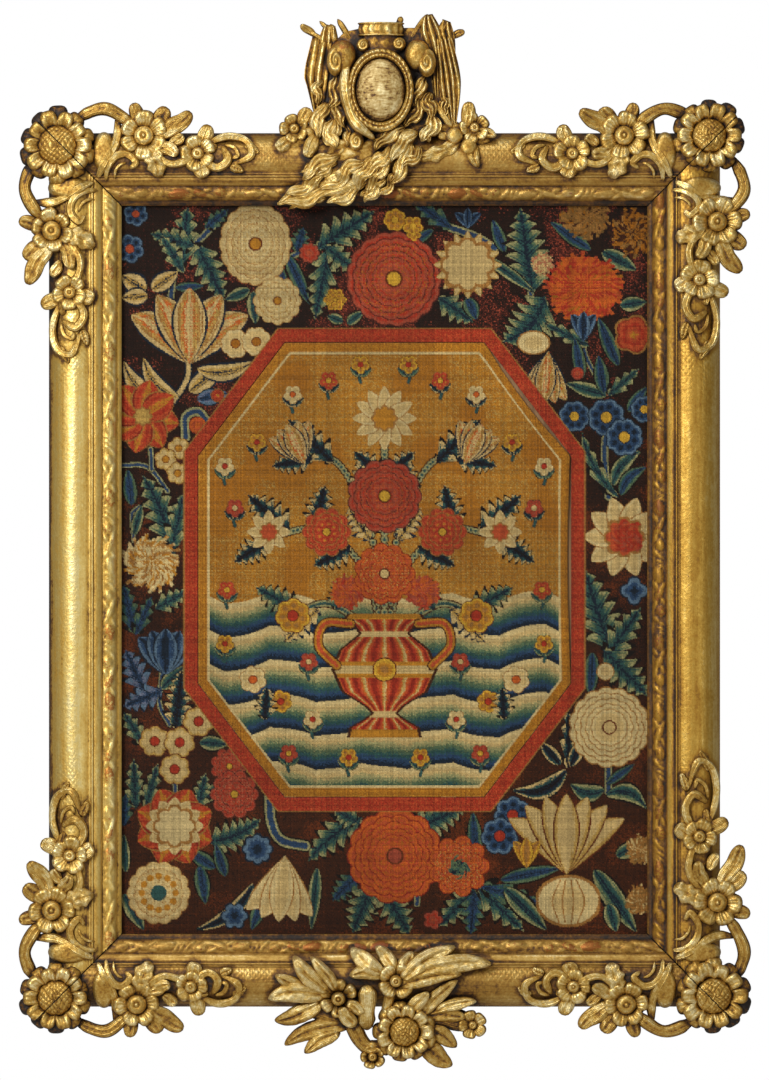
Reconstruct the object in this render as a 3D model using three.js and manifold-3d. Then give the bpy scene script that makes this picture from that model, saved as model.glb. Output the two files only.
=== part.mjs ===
// A needlepoint picture in its carved and gilded wooden frame.
// Millimetres. +X is right, +Z is up, and the picture faces -Y: the wall behind it is the plane y = 0.
// The origin is the centre of the top rail's back face, where the picture hangs on its wall.
import * as THREE from "three";
import { mergeVertices } from "three/addons/utils/BufferGeometryUtils.js";
import Module from "manifold-3d";

const wasm = await Module();
wasm.setup();

// Driving dimensions
const sightWidth = 527; // the opening that shows the needlework
const sightHeight = 730;
const railWidth = 73; // from the sight edge to the outer edge
const rebateWidth = 8.5;
const rebateHeight = 12.6;
const clothThickness = 2;
const boardThickness = 8;
const clear = 0.3; // between neighbouring pieces
const medallion = { halfWidth: 187, halfHeight: 228, cutAcross: 87, cutUp: 114 };
const slitWidth = 3; // where the medallion's seam has opened

// Places worked out from them
const sightX = sightWidth / 2;
const sightTop = -railWidth / 2;
const sightBottom = sightTop - sightHeight;
const sightMiddle = (sightTop + sightBottom) / 2;
const outerX = sightX + railWidth;
const outerTop = sightTop + railWidth;
const outerBottom = sightBottom - railWidth;

// Rail section, from the sight edge outwards: distance from the sight edge, height above the wall.
const railFront = [
  [0, 19], [4, 20], [6, 24], [12, 28], [18.5, 29], [19.5, 31], [26.5, 35],
  [28.5, 37], [31, 36], [46, 38.5], [64, 30.5], [railWidth, 13],
];
// A plainer section just above it, which the carvings sit on.
const seatFront = [[-1, 29.5], [19, 31.6], [28.5, 37.6], [46, 39], [64.4, 31], [73.5, 13.4]];
// The height that carvings start from, by distance outwards from the frame's outer edge.
const groundByOut = [[-72, 29], [-54, 31], [-44, 37], [-27, 39], [-9, 32], [14, 29]];

const gilding = new THREE.MeshStandardMaterial({ color: 0xb8923c, roughness: 0.42, metalness: 0.85 });
const wornGilding = new THREE.MeshStandardMaterial({ color: 0xa87a34, roughness: 0.5, metalness: 0.75 });
const borderStitches = new THREE.MeshStandardMaterial({ color: 0x4a3a2c, roughness: 0.95, metalness: 0 });
const medallionStitches = new THREE.MeshStandardMaterial({ color: 0xb07c2e, roughness: 0.95, metalness: 0 });
const bareWood = new THREE.MeshStandardMaterial({ color: 0x9a7650, roughness: 0.8, metalness: 0 });

// Closed geometry to solid and back
function solidOf(geometry) {
  const bare = geometry.index ? geometry.toNonIndexed() : geometry.clone();
  bare.deleteAttribute("normal");
  bare.deleteAttribute("uv");
  const merged = mergeVertices(bare, 1e-3);
  return new wasm.Manifold(
    new wasm.Mesh({
      numProp: 3,
      vertProperties: merged.attributes.position.array,
      triVerts: new Uint32Array(merged.index.array),
    }),
  );
}

function joined(solids) {
  return solids.reduce((all, one) => all.add(one));
}

function meshOf(name, solid, material) {
  const made = solid.getMesh();
  const geometry = new THREE.BufferGeometry();
  geometry.setAttribute("position", new THREE.BufferAttribute(made.vertProperties, 3));
  geometry.setIndex(new THREE.BufferAttribute(made.triVerts, 1));
  geometry.computeVertexNormals();
  const mesh = new THREE.Mesh(geometry, material);
  mesh.name = name;
  return mesh;
}

function reshape(geometry, move) {
  const at = geometry.attributes.position;
  for (let i = 0; i < at.count; i += 1) {
    at.setXYZ(i, ...move(at.getX(i), at.getY(i), at.getZ(i), i));
  }
  return geometry;
}

function groundAt(x, z) {
  const out = Math.max(Math.abs(x) - outerX, z - outerTop, outerBottom - z);
  const above = groundByOut.findIndex(([edge]) => out < edge);
  if (above === 0) return groundByOut[0][1];
  if (above < 0) return groundByOut.at(-1)[1];
  const [[nearOut, nearHeight], [farOut, farHeight]] = groundByOut.slice(above - 1, above + 1);
  return nearHeight + ((farHeight - nearHeight) * (out - nearOut)) / (farOut - nearOut);
}

// Rails: the section is pushed along the rail, and its ends are mitred by shifting each point by its
// distance from the sight edge. Each is made as the top rail, then turned into place.
const sides = {
  top: { half: sightX, turn: 0, x: 0, z: sightTop },
  right: { half: sightHeight / 2, turn: Math.PI / 2, x: sightX, z: sightMiddle },
  bottom: { half: sightX, turn: Math.PI, x: 0, z: sightBottom },
  left: { half: sightHeight / 2, turn: -Math.PI / 2, x: -sightX, z: sightMiddle },
};

function mitred(section, side, pastMitre) {
  const outline = new THREE.Shape(section.map(([d, h]) => new THREE.Vector2(d, h)));
  const geometry = new THREE.ExtrudeGeometry(outline, { depth: 1, steps: 1, bevelEnabled: false });
  reshape(geometry, (d, h, end) => [(end > 0.5 ? 1 : -1) * (side.half + d + pastMitre), -h, d]);
  return solidOf(geometry.rotateY(side.turn).translate(side.x, 0, side.z));
}

const railSection = [...railFront, [railWidth, 0], [rebateWidth, 0], [rebateWidth, rebateHeight], [0, rebateHeight]];
const seatSection = [...seatFront, [seatFront.at(-1)[0], -1], [-1, -1]];
const seat = joined(Object.values(sides).map((side) => mitred(seatSection, side, 1)));

// A closed body along a path of [x, z, height] points, made from a sphere's own grid: four sides round,
// with a ridge in front. halfWidth and halfDepth take the share of the way along, 0 to 1.
function alongPath(path, halfWidth, halfDepth, steps) {
  const around = 4;
  const curve = new THREE.CatmullRomCurve3(path.map(([x, z, height]) => new THREE.Vector3(x, -height, z)));
  const front = new THREE.Vector3(0, -1, 0);
  const geometry = new THREE.SphereGeometry(1, around, steps);
  return solidOf(reshape(geometry, (x, y, z, i) => {
    const ring = Math.floor(i / (around + 1));
    const turn = (((i % (around + 1)) / around) * 2 + 0.5) * Math.PI;
    const share = ring / steps;
    const point = curve.getPoint(share);
    if (ring > 0 && ring < steps) {
      const across = new THREE.Vector3().crossVectors(curve.getTangent(share), front).normalize();
      point.addScaledVector(across, halfWidth(share) * Math.cos(turn));
      point.addScaledVector(front, halfDepth(share) * Math.sin(turn));
    }
    return point.toArray();
  }));
}

// A stem, fold or scroll of even width. Its points are [x, z, lift over the ground].
function stem({ width, depth, points }) {
  const round = (t) => Math.min(1, 0.4 + 3 * Math.min(t, 1 - t));
  const path = points.map(([x, z, lift]) => [x, z, groundAt(x, z) + lift]);
  return alongPath(path, (t) => (width / 2) * round(t), (t) => (depth / 2) * round(t), points.length);
}

// A pointed leaf or lock from base to tip, bowed sideways by bend. lift is its ridge's height over the ground.
function leaf({ from, to, width, bend = 0, lift = 7, deep = 11 }) {
  const [x0, z0] = from;
  const [x1, z1] = to;
  const length = Math.hypot(x1 - x0, z1 - z0);
  const path = [0, 0.5, 1].map((t) => {
    const bow = (bend * 4 * t * (1 - t)) / length;
    const [x, z] = [x0 + (x1 - x0) * t - (z1 - z0) * bow, z0 + (z1 - z0) * t + (x1 - x0) * bow];
    return [x, z, groundAt(x, z) + lift - deep / 2];
  });
  const swell = (t) => Math.sin(Math.PI * t ** 0.8) ** 0.8;
  const steps = length > 36 ? 4 : 3;
  return alongPath(path, (t) => (width / 2) * swell(t), (t) => (deep / 2) * (0.8 + 0.2 * swell(t)), steps);
}

// A round shape on the ground, from a profile of [radius, height over the ground].
// Its back is flat, and its front leans halfway with the ground under it.
function turned({ x, z, stretch = [1, 1], profile, segments, reach = () => 1 }) {
  const points = profile.map(([r, h]) => new THREE.Vector2(r, h));
  const centre = groundAt(x, z);
  return solidOf(reshape(new THREE.LatheGeometry(points, segments), (lx, height, lz, i) => {
    const scale = reach(i % points.length, Math.floor(i / points.length) % segments);
    const [px, pz] = [x + lx * scale * stretch[0], z - lz * scale * stretch[1]];
    return [px, -(height + (centre + groundAt(px, pz)) / 2), pz];
  }));
}

// A flower: each petal takes two or three points of the rim, and the first of them is drawn in as a notch.
function flower({ x, z, radius, petals, disc, lift = 10, deep = 13 }) {
  const profile = [
    [0, -deep], [radius * 0.88, -deep * 0.6], [radius, lift * 0.1], [radius * 0.7, lift * 0.8],
    [disc, lift * 0.4], [0, lift * 1.15],
  ];
  const perPetal = radius > 20 ? 3 : 2;
  const reach = (row, column) => (row >= 1 && row <= 3 && column % perPetal === 0 ? 0.82 : 1);
  return turned({ x, z, profile, segments: petals * perPetal, reach });
}

function knob({ x, z, radius, stretch, lift = 10, deep = 12 }) {
  const profile = [[0, -deep], [radius * 0.9, -deep], [radius, lift * 0.5], [radius * 0.6, lift * 0.92], [0, lift]];
  return turned({ x, z, stretch, profile, segments: radius > 12 ? 8 : 6 });
}

// Corner carvings: along runs from the frame's outer corner, and out from its outer edge.
const corners = {
  top_left: { x: -outerX, z: outerTop, right: 1, up: 1, flower: { along: 10, out: -14, radius: 38, disc: 20 } },
  top_right: { x: outerX, z: outerTop, right: -1, up: 1, flower: { along: 12, out: -4, radius: 36, disc: 17 } },
  bottom_left: { x: -outerX, z: outerBottom, right: 1, up: -1, flower: { along: 8, out: -11, radius: 35, disc: 18 } },
  bottom_right: { x: outerX, z: outerBottom, right: -1, up: -1, flower: { along: 8, out: -13, radius: 37, disc: 18 } },
};
// Where each spray's two flowers lie, how far it stretches past the second, and the flowers' radii.
const sprays = [
  { corner: "top_left", arm: "across", first: 96, second: 150, stretch: 1, radii: [23.5, 17] },
  { corner: "top_left", arm: "upright", first: 99, second: 161, stretch: 1.15, radii: [21, 17] },
  { corner: "top_right", arm: "across", first: 97, second: 149, stretch: 1, radii: [24, 18] },
  { corner: "top_right", arm: "upright", first: 90, second: 148, stretch: 1.3, radii: [24, 19] },
  { corner: "bottom_left", arm: "across", first: 89, second: 143, stretch: 0.9, radii: [22, 16] },
  { corner: "bottom_left", arm: "upright", first: 98, second: 153, stretch: 1.2, radii: [23, 18] },
  { corner: "bottom_right", arm: "across", first: 95, second: 148, stretch: 0.9, radii: [22, 17] },
  { corner: "bottom_right", arm: "upright", first: 106, second: 172, stretch: 1.4, radii: [24, 17] },
];
// The shapes of a spray with its flowers at 96 and 150: places are [along, out] or [along, out, lift].
const sprayFlowers = [
  { at: [96, -4], petals: 6, disc: 9.5, lift: 13 },
  { at: [150, -22], petals: 5, disc: 6, lift: 9 },
];
const sprayStems = [
  { width: 13, depth: 16, points: [[24, 10, -2], [42, 20, 0], [58, 23, 2], [74, 15, 2], [88, 2, 2]] },
  { width: 7, depth: 9, points: [[50, -46, 1], [57, -31, 1], [66, -16, 1], [70, -2, 0], [69, 14, 0]] },
  { width: 6, depth: 9, points: [[98, -14, 2], [118, -31, 1], [134, -31, 1], [150, -22, 1]] },
  { width: 6, depth: 9, points: [[150, -24, 2], [168, -36, 1], [180, -28, 1], [174, -14, 1]] },
  { width: 6, depth: 9, points: [[152, -16, 1], [178, -5, 1], [200, -10, 1], [204, -26, 1], [178, -34, 1]] },
];
const sprayLeaves = [
  { from: [92, 4], to: [86, 30], width: 14 },
  { from: [104, 2], to: [121, 25], width: 15 },
  { from: [106, -6], to: [145, 20], width: 17, bend: -3 },
  { from: [98, -14], to: [112, -47], width: 17, bend: 3, lift: 6 },
  { from: [153, -16], to: [161, 7], width: 14 },
  { from: [150, -30], to: [157, -47], width: 14, lift: 5 },
];
const tab = { at: [56, -21], stretch: [12, 21], profile: [[0, -6], [1, -6], [0.85, 3], [0, 5]] };

function cornerPlace(corner, arm, along, out) {
  return arm === "across"
    ? [corner.x + corner.right * along, corner.z + corner.up * out]
    : [corner.x - corner.right * out, corner.z - corner.up * along];
}

function sunflowerSolid(corner, grow = 0) {
  const { along, out, radius, disc } = corner.flower;
  const [x, z] = cornerPlace(corner, "across", along, out);
  return flower({ x, z, radius: radius + grow, petals: 10, disc, lift: 19 + grow, deep: 15 + 2 * grow });
}

function spraySolid({ corner: name, arm, first, second, stretch, radii }) {
  const corner = corners[name];
  const slide = (along) => {
    if (along <= 60) return along;
    if (along <= 96) return 60 + ((along - 60) * (first - 60)) / 36;
    if (along <= 150) return first + ((along - 96) * (second - first)) / 54;
    return second + (along - 150) * stretch;
  };
  const place = ([along, out, ...lift]) => [...cornerPlace(corner, arm, slide(along), out), ...lift];
  const spread = (pair) => (arm === "across" ? pair : [pair[1], pair[0]]);
  const [tabX, tabZ] = place(tab.at);
  return joined([
    ...sprayStems.map((one) => stem({ ...one, points: one.points.map(place) })),
    ...sprayLeaves.map((one) => leaf({ ...one, from: place(one.from), to: place(one.to) })),
    ...sprayFlowers.map((one, i) => {
      const [x, z] = place(one.at);
      return flower({ ...one, x, z, radius: radii[i] });
    }),
    turned({ x: tabX, z: tabZ, stretch: spread(tab.stretch), profile: tab.profile, segments: 8 }),
  ]);
}

// The crest: a blank oval in a cartouche of scrolls, with a collar over it, banners beside it and wavy locks
// that sweep down over the rail. x is from the middle of the rail, and z from its outer edge.
const crestRing = { x: -4, z: 41, halfWidth: 33, halfHeight: 41.7, inner: 0.77, back: -12, floor: 6, top: 23 };
const crestBoss = { x: -4, z: 41, halfWidth: 24.3, halfHeight: 31.2, back: crestRing.floor + clear, top: 30 };
const crestCollar = { x: -3.5, z: 102, halfWidth: 23.5, halfDepth: 13, height: 13, middle: 36 };
const crestNeck = { x: -3.5, z: 88, halfWidth: 20, halfDepth: 10, height: 18, middle: 36 };
const crestStems = [
  { width: 15, depth: 26, points: [[-46, 86, 8], [-36, 82, 10], [-35, 68, 10]] },
  { width: 10, depth: 24, points: [[-35, 74, 8], [-39, 44, 8], [-31, 13, 8], [-10, -6, 8]] },
  { width: 14, depth: 26, points: [[42, 86, 8], [30, 86, 10], [27, 74, 10], [30, 56, 8]] },
  { width: 5, depth: 10, points: [[-50, 84, 0], [-66, 95, 0], [-76, 101, 0]] },
  { width: 5, depth: 10, points: [[-44, 86, 0], [-56, 102, 0], [-65, 111, 0]] },
  { width: 6, depth: 10, points: [[-32, 88, 0], [-40, 102, 0], [-47, 113, 0]] },
  { width: 5, depth: 10, points: [[23, 88, 0], [33, 104, 0], [43, 118, 0]] },
  { width: 5, depth: 10, points: [[46, 82, 0], [60, 91, 0], [72, 98, 0]] },
  { width: 6, depth: 8, points: [[13, 104, 6], [17, 115, 6]] },
  { width: 11, depth: 15, points: [[-69, 90, 0], [-75, 56, 1], [-70, 30, 2], [-68, 4, 2]] },
  { width: 10, depth: 15, points: [[-61, 90, 0], [-64, 48, 2], [-66, 10, 2]] },
  { width: 11, depth: 14, points: [[-54, 108, 0], [-50, 92, 1], [-57, 50, 1]] },
  { width: 11, depth: 15, points: [[66, 94, 0], [71, 62, 1], [72, 34, 2], [69, 3, 2]] },
  { width: 10, depth: 15, points: [[58, 92, 0], [62, 50, 2], [66, 8, 2]] },
  { width: 9, depth: 14, points: [[54, 86, 0], [54, 56, 1], [57, 30, 1]] },
  { width: 10, depth: 14, points: [[63, 111, 0], [58, 100, 1], [54, 84, 1]] },
  { width: 8, depth: 14, points: [[47, 115, 0], [48, 100, 1], [48, 84, 1]] },
  { width: 8, depth: 14, points: [[41, 112, 0], [40, 98, 1], [38, 84, 1]] },
];
// Low beds that the locks and flowers on the rail rise from
const crestBeds = [
  { from: [60, 14], to: [-108, -73], width: 48, lift: 5, deep: 12 },
  { from: [50, 2], to: [108, -8], width: 26, lift: 5, deep: 14 },
  { from: [-44, 2], to: [-106, -12], width: 30, lift: 5, deep: 14 },
];
const crestKnobs = [
  { x: -48.5, z: 70, radius: 15, stretch: [0.6, 1], lift: 24 },
  { x: 42, z: 68.5, radius: 14.5, stretch: [0.65, 1], lift: 24 },
  { x: -21, z: 86, radius: 7, stretch: [1, 1], lift: 20 },
  { x: 14.5, z: 87, radius: 7, stretch: [1, 1], lift: 20 },
  { x: -28, z: -10, radius: 10, stretch: [0.75, 1], lift: 16 },
  { x: 70, z: -4, radius: 8, stretch: [1, 1], lift: 13 },
  { x: 84, z: -15, radius: 8, stretch: [1, 1], lift: 9 },
];
const crestLeaves = [
  { from: [-68, 96], to: [-84, 107], width: 8, lift: 4, deep: 8 },
  { from: [66, 95], to: [80, 101], width: 8, lift: 4, deep: 8 },
  { from: [-49, 58], to: [-57, 22], width: 16, bend: 5, lift: 15, deep: 18 },
  { from: [-56, 30], to: [-66, -8], width: 16, bend: -4, lift: 13, deep: 16 },
  { from: [-48, 36], to: [-39, 4], width: 15, bend: -4, lift: 13, deep: 16 },
  { from: [-50, 14], to: [-48, -18], width: 17, bend: -5, lift: 12, deep: 15 },
  { from: [42, 56], to: [30, 22], width: 15, bend: -4, lift: 15, deep: 18 },
  { from: [46, 40], to: [50, 12], width: 15, bend: -4, lift: 14, deep: 18 },
  { from: [36, 34], to: [18, 4], width: 15, bend: 3, lift: 14, deep: 18 },
  { from: [48, 20], to: [36, -10], width: 16, bend: 4, lift: 13, deep: 16 },
  { from: [22, 6], to: [-10, -20], width: 16, bend: -3, lift: 14, deep: 18 },
  { from: [34, 0], to: [6, -32], width: 17, bend: -4, lift: 13, deep: 15 },
  { from: [26, -10], to: [4, -54], width: 15, bend: 4, lift: 10, deep: 13 },
  { from: [6, -14], to: [-22, -46], width: 15, bend: 3, lift: 12 },
  { from: [-8, -26], to: [-27, -60], width: 15, bend: -4, lift: 11 },
  { from: [6, -28], to: [-16, -62], width: 15, bend: -3, lift: 10 },
  { from: [-34, -34], to: [-66, -58], width: 14, bend: 4, lift: 10 },
  { from: [-18, -30], to: [-50, -56], width: 14, bend: -4, lift: 10 },
  { from: [-44, -24], to: [-82, -49], width: 15, bend: -4, lift: 9 },
  { from: [-60, -42], to: [-99, -62], width: 14, bend: 3, lift: 9 },
  { from: [-22, -50], to: [-58, -71], width: 14, bend: 3, lift: 9 },
  { from: [-48, -52], to: [-102, -71], width: 15, bend: 4, lift: 8 },
  { from: [2, -46], to: [-20, -71], width: 15, bend: -3, lift: 9 },
  { from: [-30, -10], to: [-58, -26], width: 20, lift: 6 },
  { from: [-68, -2], to: [-78, -26], width: 15, lift: 8 },
  { from: [80, -8], to: [32, -27], width: 18, bend: 3, lift: 5 },
  { from: [86, -6], to: [94, -36], width: 14, bend: -2, lift: 5 },
  { from: [90, 2], to: [112, -4], width: 12, lift: 7 },
  { from: [82, 4], to: [85, 30], width: 15, lift: 9 },
  { from: [-84, 6], to: [-76, 24], width: 15, lift: 9 },
  { from: [-92, -6], to: [-108, -18], width: 15, lift: 6 },
];
const crestFlowers = [
  { x: -90, z: 3, radius: 14, petals: 5, disc: 5, lift: 11 },
  { x: 90, z: 4, radius: 15, petals: 5, disc: 5, lift: 12 },
];
// The carved block behind the crest's pieces, from its height at the back to its front.
const crestBlock = {
  back: 14, front: 33,
  outline: [[-70, 86], [-48, 92], [-40, 100], [-22, 104], [18, 104], [36, 104], [56, 92], [66, 84], [70, -4], [-70, -4]],
};

function drum({ x, z, halfWidth, halfDepth, height, middle }) {
  return solidOf(new THREE.CylinderGeometry(1, 1, 1, 10)
    .rotateX(Math.PI / 2)
    .scale(halfWidth, halfDepth, height)
    .translate(x, -middle, z + outerTop));
}

function ovalRing({ x, z, halfWidth, halfHeight, inner, back, floor, top }) {
  const middle = (1 + inner) / 2;
  const profile = [[0, back], [1, back], [1, top - 5], [middle, top], [inner, top - 4], [inner, floor], [0, floor]];
  return turned({ x, z: z + outerTop, stretch: [halfWidth, halfHeight], profile, segments: 18 });
}

function bossSolid() {
  const { x, z, halfWidth, halfHeight, back, top } = crestBoss;
  const profile = [[0, back], [1, back], [1, top - 12], [0.85, top - 5], [0.5, top - 1], [0, top]];
  return turned({ x, z: z + outerTop, stretch: [halfWidth, halfHeight], profile, segments: 18 });
}

// Tables measured from an edge of the frame, moved to their place
function movedTo(edge) {
  const place = ([x, z, ...lift]) => [x, z + edge, ...lift];
  return {
    stems: (rows) => rows.map((one) => stem({ ...one, points: one.points.map(place) })),
    leaves: (rows) => rows.map((one) => leaf({ ...one, from: place(one.from), to: place(one.to) })),
    flowers: (rows) => rows.map((one) => flower({ ...one, z: one.z + edge })),
    knobs: (rows) => rows.map((one) => knob({ ...one, z: one.z + edge })),
  };
}

function crestSolid() {
  const make = movedTo(outerTop);
  const { back, front, outline } = crestBlock;
  const shape = new THREE.Shape(outline.map(([x, z]) => new THREE.Vector2(x, z + outerTop)));
  const block = solidOf(new THREE.ExtrudeGeometry(shape, { depth: front - back, bevelEnabled: false })
    .rotateX(Math.PI / 2)
    .translate(0, -back, 0));
  return joined([
    block,
    ovalRing(crestRing),
    drum(crestCollar),
    drum(crestNeck),
    ...make.stems(crestStems),
    ...make.knobs(crestKnobs),
    ...make.leaves([...crestBeds, ...crestLeaves]),
    ...make.flowers(crestFlowers),
  ]);
}

// The bouquet at the foot: x is from the middle of the rail, and z from its outer edge.
const bouquetFlowers = [
  { x: 20, z: -23, radius: 31, petals: 9, disc: 15, lift: 20, deep: 15 },
  { x: -12, z: -50, radius: 14, petals: 5, disc: 5, lift: 12 },
  { x: 11.5, z: 28, radius: 18, petals: 5, disc: 6, lift: 16 },
  { x: -46, z: 10, radius: 19, petals: 6, disc: 7, lift: 20 },
  { x: 88, z: -17, radius: 14, petals: 5, disc: 4, lift: 8 },
];
const bouquetLeaves = [
  { from: [-1, 36], to: [-33, 61], width: 20, bend: 3, lift: 13, deep: 16 },
  { from: [10, 38], to: [-9, 62], width: 16, bend: -2, lift: 12, deep: 16 },
  { from: [18, 36], to: [28, 57], width: 18, lift: 12, deep: 16 },
  { from: [16, 28], to: [71, 62], width: 19, bend: 4, lift: 15, deep: 18 },
  { from: [26, 34], to: [107, 45], width: 21, bend: 5, lift: 13, deep: 16 },
  { from: [14, 22], to: [77, 35], width: 18, bend: 4, lift: 12, deep: 16 },
  { from: [0, 33], to: [-35, 33], width: 17, bend: -4, lift: 11, deep: 16 },
  { from: [-54, 16], to: [-91, 53], width: 19, bend: 3, lift: 14, deep: 18 },
  { from: [-48, 18], to: [-74, 52], width: 14, bend: -2, lift: 15, deep: 18 },
  { from: [-58, 12], to: [-116, 10], width: 22, bend: -6, lift: 14, deep: 16 },
  { from: [-62, 8], to: [-110, -12], width: 20, bend: 4, lift: 11, deep: 16 },
  { from: [-66, 20], to: [-109, 34], width: 17, bend: 3, lift: 9, deep: 14 },
  { from: [-34, -18], to: [-100, -37], width: 20, bend: -7 },
  { from: [-44, -24], to: [-80, -45], width: 17, bend: -3 },
  { from: [36, -10], to: [73, 29], width: 15, bend: 3, lift: 9 },
  { from: [50, -4], to: [92, 7], width: 14, bend: 3, lift: 8 },
  { from: [42, -8], to: [82, -9], width: 16, bend: 2 },
  { from: [42, -22], to: [72, -39], width: 18, bend: 3, lift: 9 },
  { from: [36, -30], to: [68, -57], width: 22, bend: -3, lift: 9 },
  { from: [22, -6], to: [44, 17], width: 16, lift: 12 },
  { from: [-44, 2], to: [-28, -16], width: 15, bend: -2, lift: 20, deep: 16 },
  { from: [-38, 6], to: [-22, -6], width: 13, bend: 2, lift: 17, deep: 16 },
];
const bouquetStems = [
  { width: 19, depth: 20, points: [[-18, 24, 4], [-17, 10, 6], [-19, -6, 6], [-17, -22, 2]] },
  { width: 16, depth: 18, points: [[-40, 0, 4], [-32, -16, 2], [-24, -32, 0], [-14, -40, 0], [2, -34, 0]] },
  { width: 12, depth: 16, points: [[8, 22, 4], [4, 8, 2], [2, -8, 0]] },
  { width: 22, depth: 18, points: [[34, -12, -2], [54, -8, -3], [72, -12, -4], [86, -16, -4]] },
  { width: 20, depth: 18, points: [[-12, -12, -2], [-34, -12, -2], [-60, -4, -3], [-84, 2, -2]] },
];

function bouquetSolid() {
  const make = movedTo(outerBottom);
  return joined([
    ...make.stems(bouquetStems),
    ...make.flowers(bouquetFlowers),
    ...make.leaves(bouquetLeaves),
  ]);
}

// The needlework: a stitched border with an octagon let into it, both flat cloth against one board.
function octagon(grow) {
  const [across, up] = [medallion.halfWidth + grow, medallion.halfHeight + grow];
  const [inX, inZ] = [across - medallion.cutAcross - grow * 0.4, up - medallion.cutUp - grow * 0.4];
  return [
    [inX, up], [across, inZ], [across, -inZ], [inX, -up],
    [-inX, -up], [-across, -inZ], [-across, inZ], [-inX, up],
  ];
}

function rectangle(halfX, halfZ) {
  return [[-halfX, -halfZ], [halfX, -halfZ], [halfX, halfZ], [-halfX, halfZ]].map(([x, z]) => new THREE.Vector2(x, z));
}

function clothSolid(outline) {
  const back = rebateHeight - clear - clothThickness;
  return solidOf(new THREE.ExtrudeGeometry(outline, { depth: clothThickness, bevelEnabled: false, curveSegments: 4 })
    .rotateX(Math.PI / 2)
    .translate(0, -back, sightMiddle));
}

function borderSolid() {
  const hidden = rebateWidth - 0.5;
  const outline = new THREE.Shape(rectangle(sightX + hidden, sightHeight / 2 + hidden));
  outline.holes.push(new THREE.Path(octagon(0).map(([x, z]) => new THREE.Vector2(x, z))));
  return clothSolid(outline);
}

// Its seam has opened along the upper right and the right side, where the edge is drawn in as a shallow curve.
function medallionSolid() {
  const [start, shoulder, ...rest] = octagon(-clear);
  const [low] = rest;
  const outline = new THREE.Shape();
  outline.moveTo(...start);
  outline.quadraticCurveTo(
    (start[0] + shoulder[0]) / 2 - slitWidth * 1.6, (start[1] + shoulder[1]) / 2 - slitWidth * 1.2, ...shoulder);
  outline.quadraticCurveTo(shoulder[0] - slitWidth * 2, low[1] * 0.6, ...low);
  rest.slice(1).forEach((corner) => outline.lineTo(...corner));
  outline.closePath();
  return clothSolid(outline);
}

function boardSolid() {
  const hidden = rebateWidth - 0.5;
  const front = rebateHeight - clothThickness - 2 * clear;
  return solidOf(new THREE.BoxGeometry(sightWidth + 2 * hidden, boardThickness, sightHeight + 2 * hidden)
    .translate(0, boardThickness / 2 - front, sightMiddle));
}

const needlework = new THREE.Group();
needlework.add(
  meshOf("needlepoint_border", borderSolid(), borderStitches),
  meshOf("needlepoint_medallion", medallionSolid(), medallionStitches),
  meshOf("backing_board", boardSolid(), bareWood),
);

const frame = new THREE.Group();
for (const [name, side] of Object.entries(sides)) {
  frame.add(meshOf(`rail_${name}`, mitred(railSection, side, -clear / 2), gilding));
}

const carvings = new THREE.Group();
for (const [name, corner] of Object.entries(corners)) {
  carvings.add(meshOf(`sunflower_${name}`, sunflowerSolid(corner).subtract(seat), gilding));
}
for (const spray of sprays) {
  const room = sunflowerSolid(corners[spray.corner], 0.5).add(seat);
  carvings.add(meshOf(`spray_${spray.corner}_${spray.arm}`, spraySolid(spray).subtract(room), gilding));
}
carvings.add(
  meshOf("crest_carving", crestSolid().subtract(seat), gilding),
  meshOf("crest_boss", bossSolid(), wornGilding),
  meshOf("foot_bouquet", bouquetSolid().subtract(seat), gilding),
);

const picture = new THREE.Group();
picture.name = "framed_needlepoint_picture";
picture.add(needlework, frame, carvings);
export default picture;
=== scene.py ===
import bpy
import numpy as np
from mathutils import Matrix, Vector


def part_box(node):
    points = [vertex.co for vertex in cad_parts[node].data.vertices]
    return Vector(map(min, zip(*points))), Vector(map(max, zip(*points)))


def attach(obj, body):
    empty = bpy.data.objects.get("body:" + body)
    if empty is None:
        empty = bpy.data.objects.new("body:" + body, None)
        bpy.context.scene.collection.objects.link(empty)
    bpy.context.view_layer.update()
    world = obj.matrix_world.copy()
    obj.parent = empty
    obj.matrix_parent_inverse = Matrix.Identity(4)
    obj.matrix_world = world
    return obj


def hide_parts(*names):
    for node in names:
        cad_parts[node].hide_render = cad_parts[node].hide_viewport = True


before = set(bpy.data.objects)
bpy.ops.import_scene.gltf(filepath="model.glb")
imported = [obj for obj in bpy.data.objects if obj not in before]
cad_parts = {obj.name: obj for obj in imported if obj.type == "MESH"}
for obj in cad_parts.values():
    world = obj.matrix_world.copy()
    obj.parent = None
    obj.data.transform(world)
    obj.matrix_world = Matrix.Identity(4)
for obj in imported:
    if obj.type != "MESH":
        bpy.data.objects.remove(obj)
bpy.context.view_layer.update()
print("stage: solids loaded")

# Tables and formulas are in mm: x to the right, h out from the wall and z up. Meshes are in metres.
mm = 0.001


def nodeBox(name):
    low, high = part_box(name)
    return np.round(np.array(low) / mm, 1), np.round(np.array(high) / mm, 1)


def table(columns, rows):
    # rows as dictionaries by the names of their columns: a short row leaves out its last columns
    return [dict(zip(columns.split(), row)) for row in rows]


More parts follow.
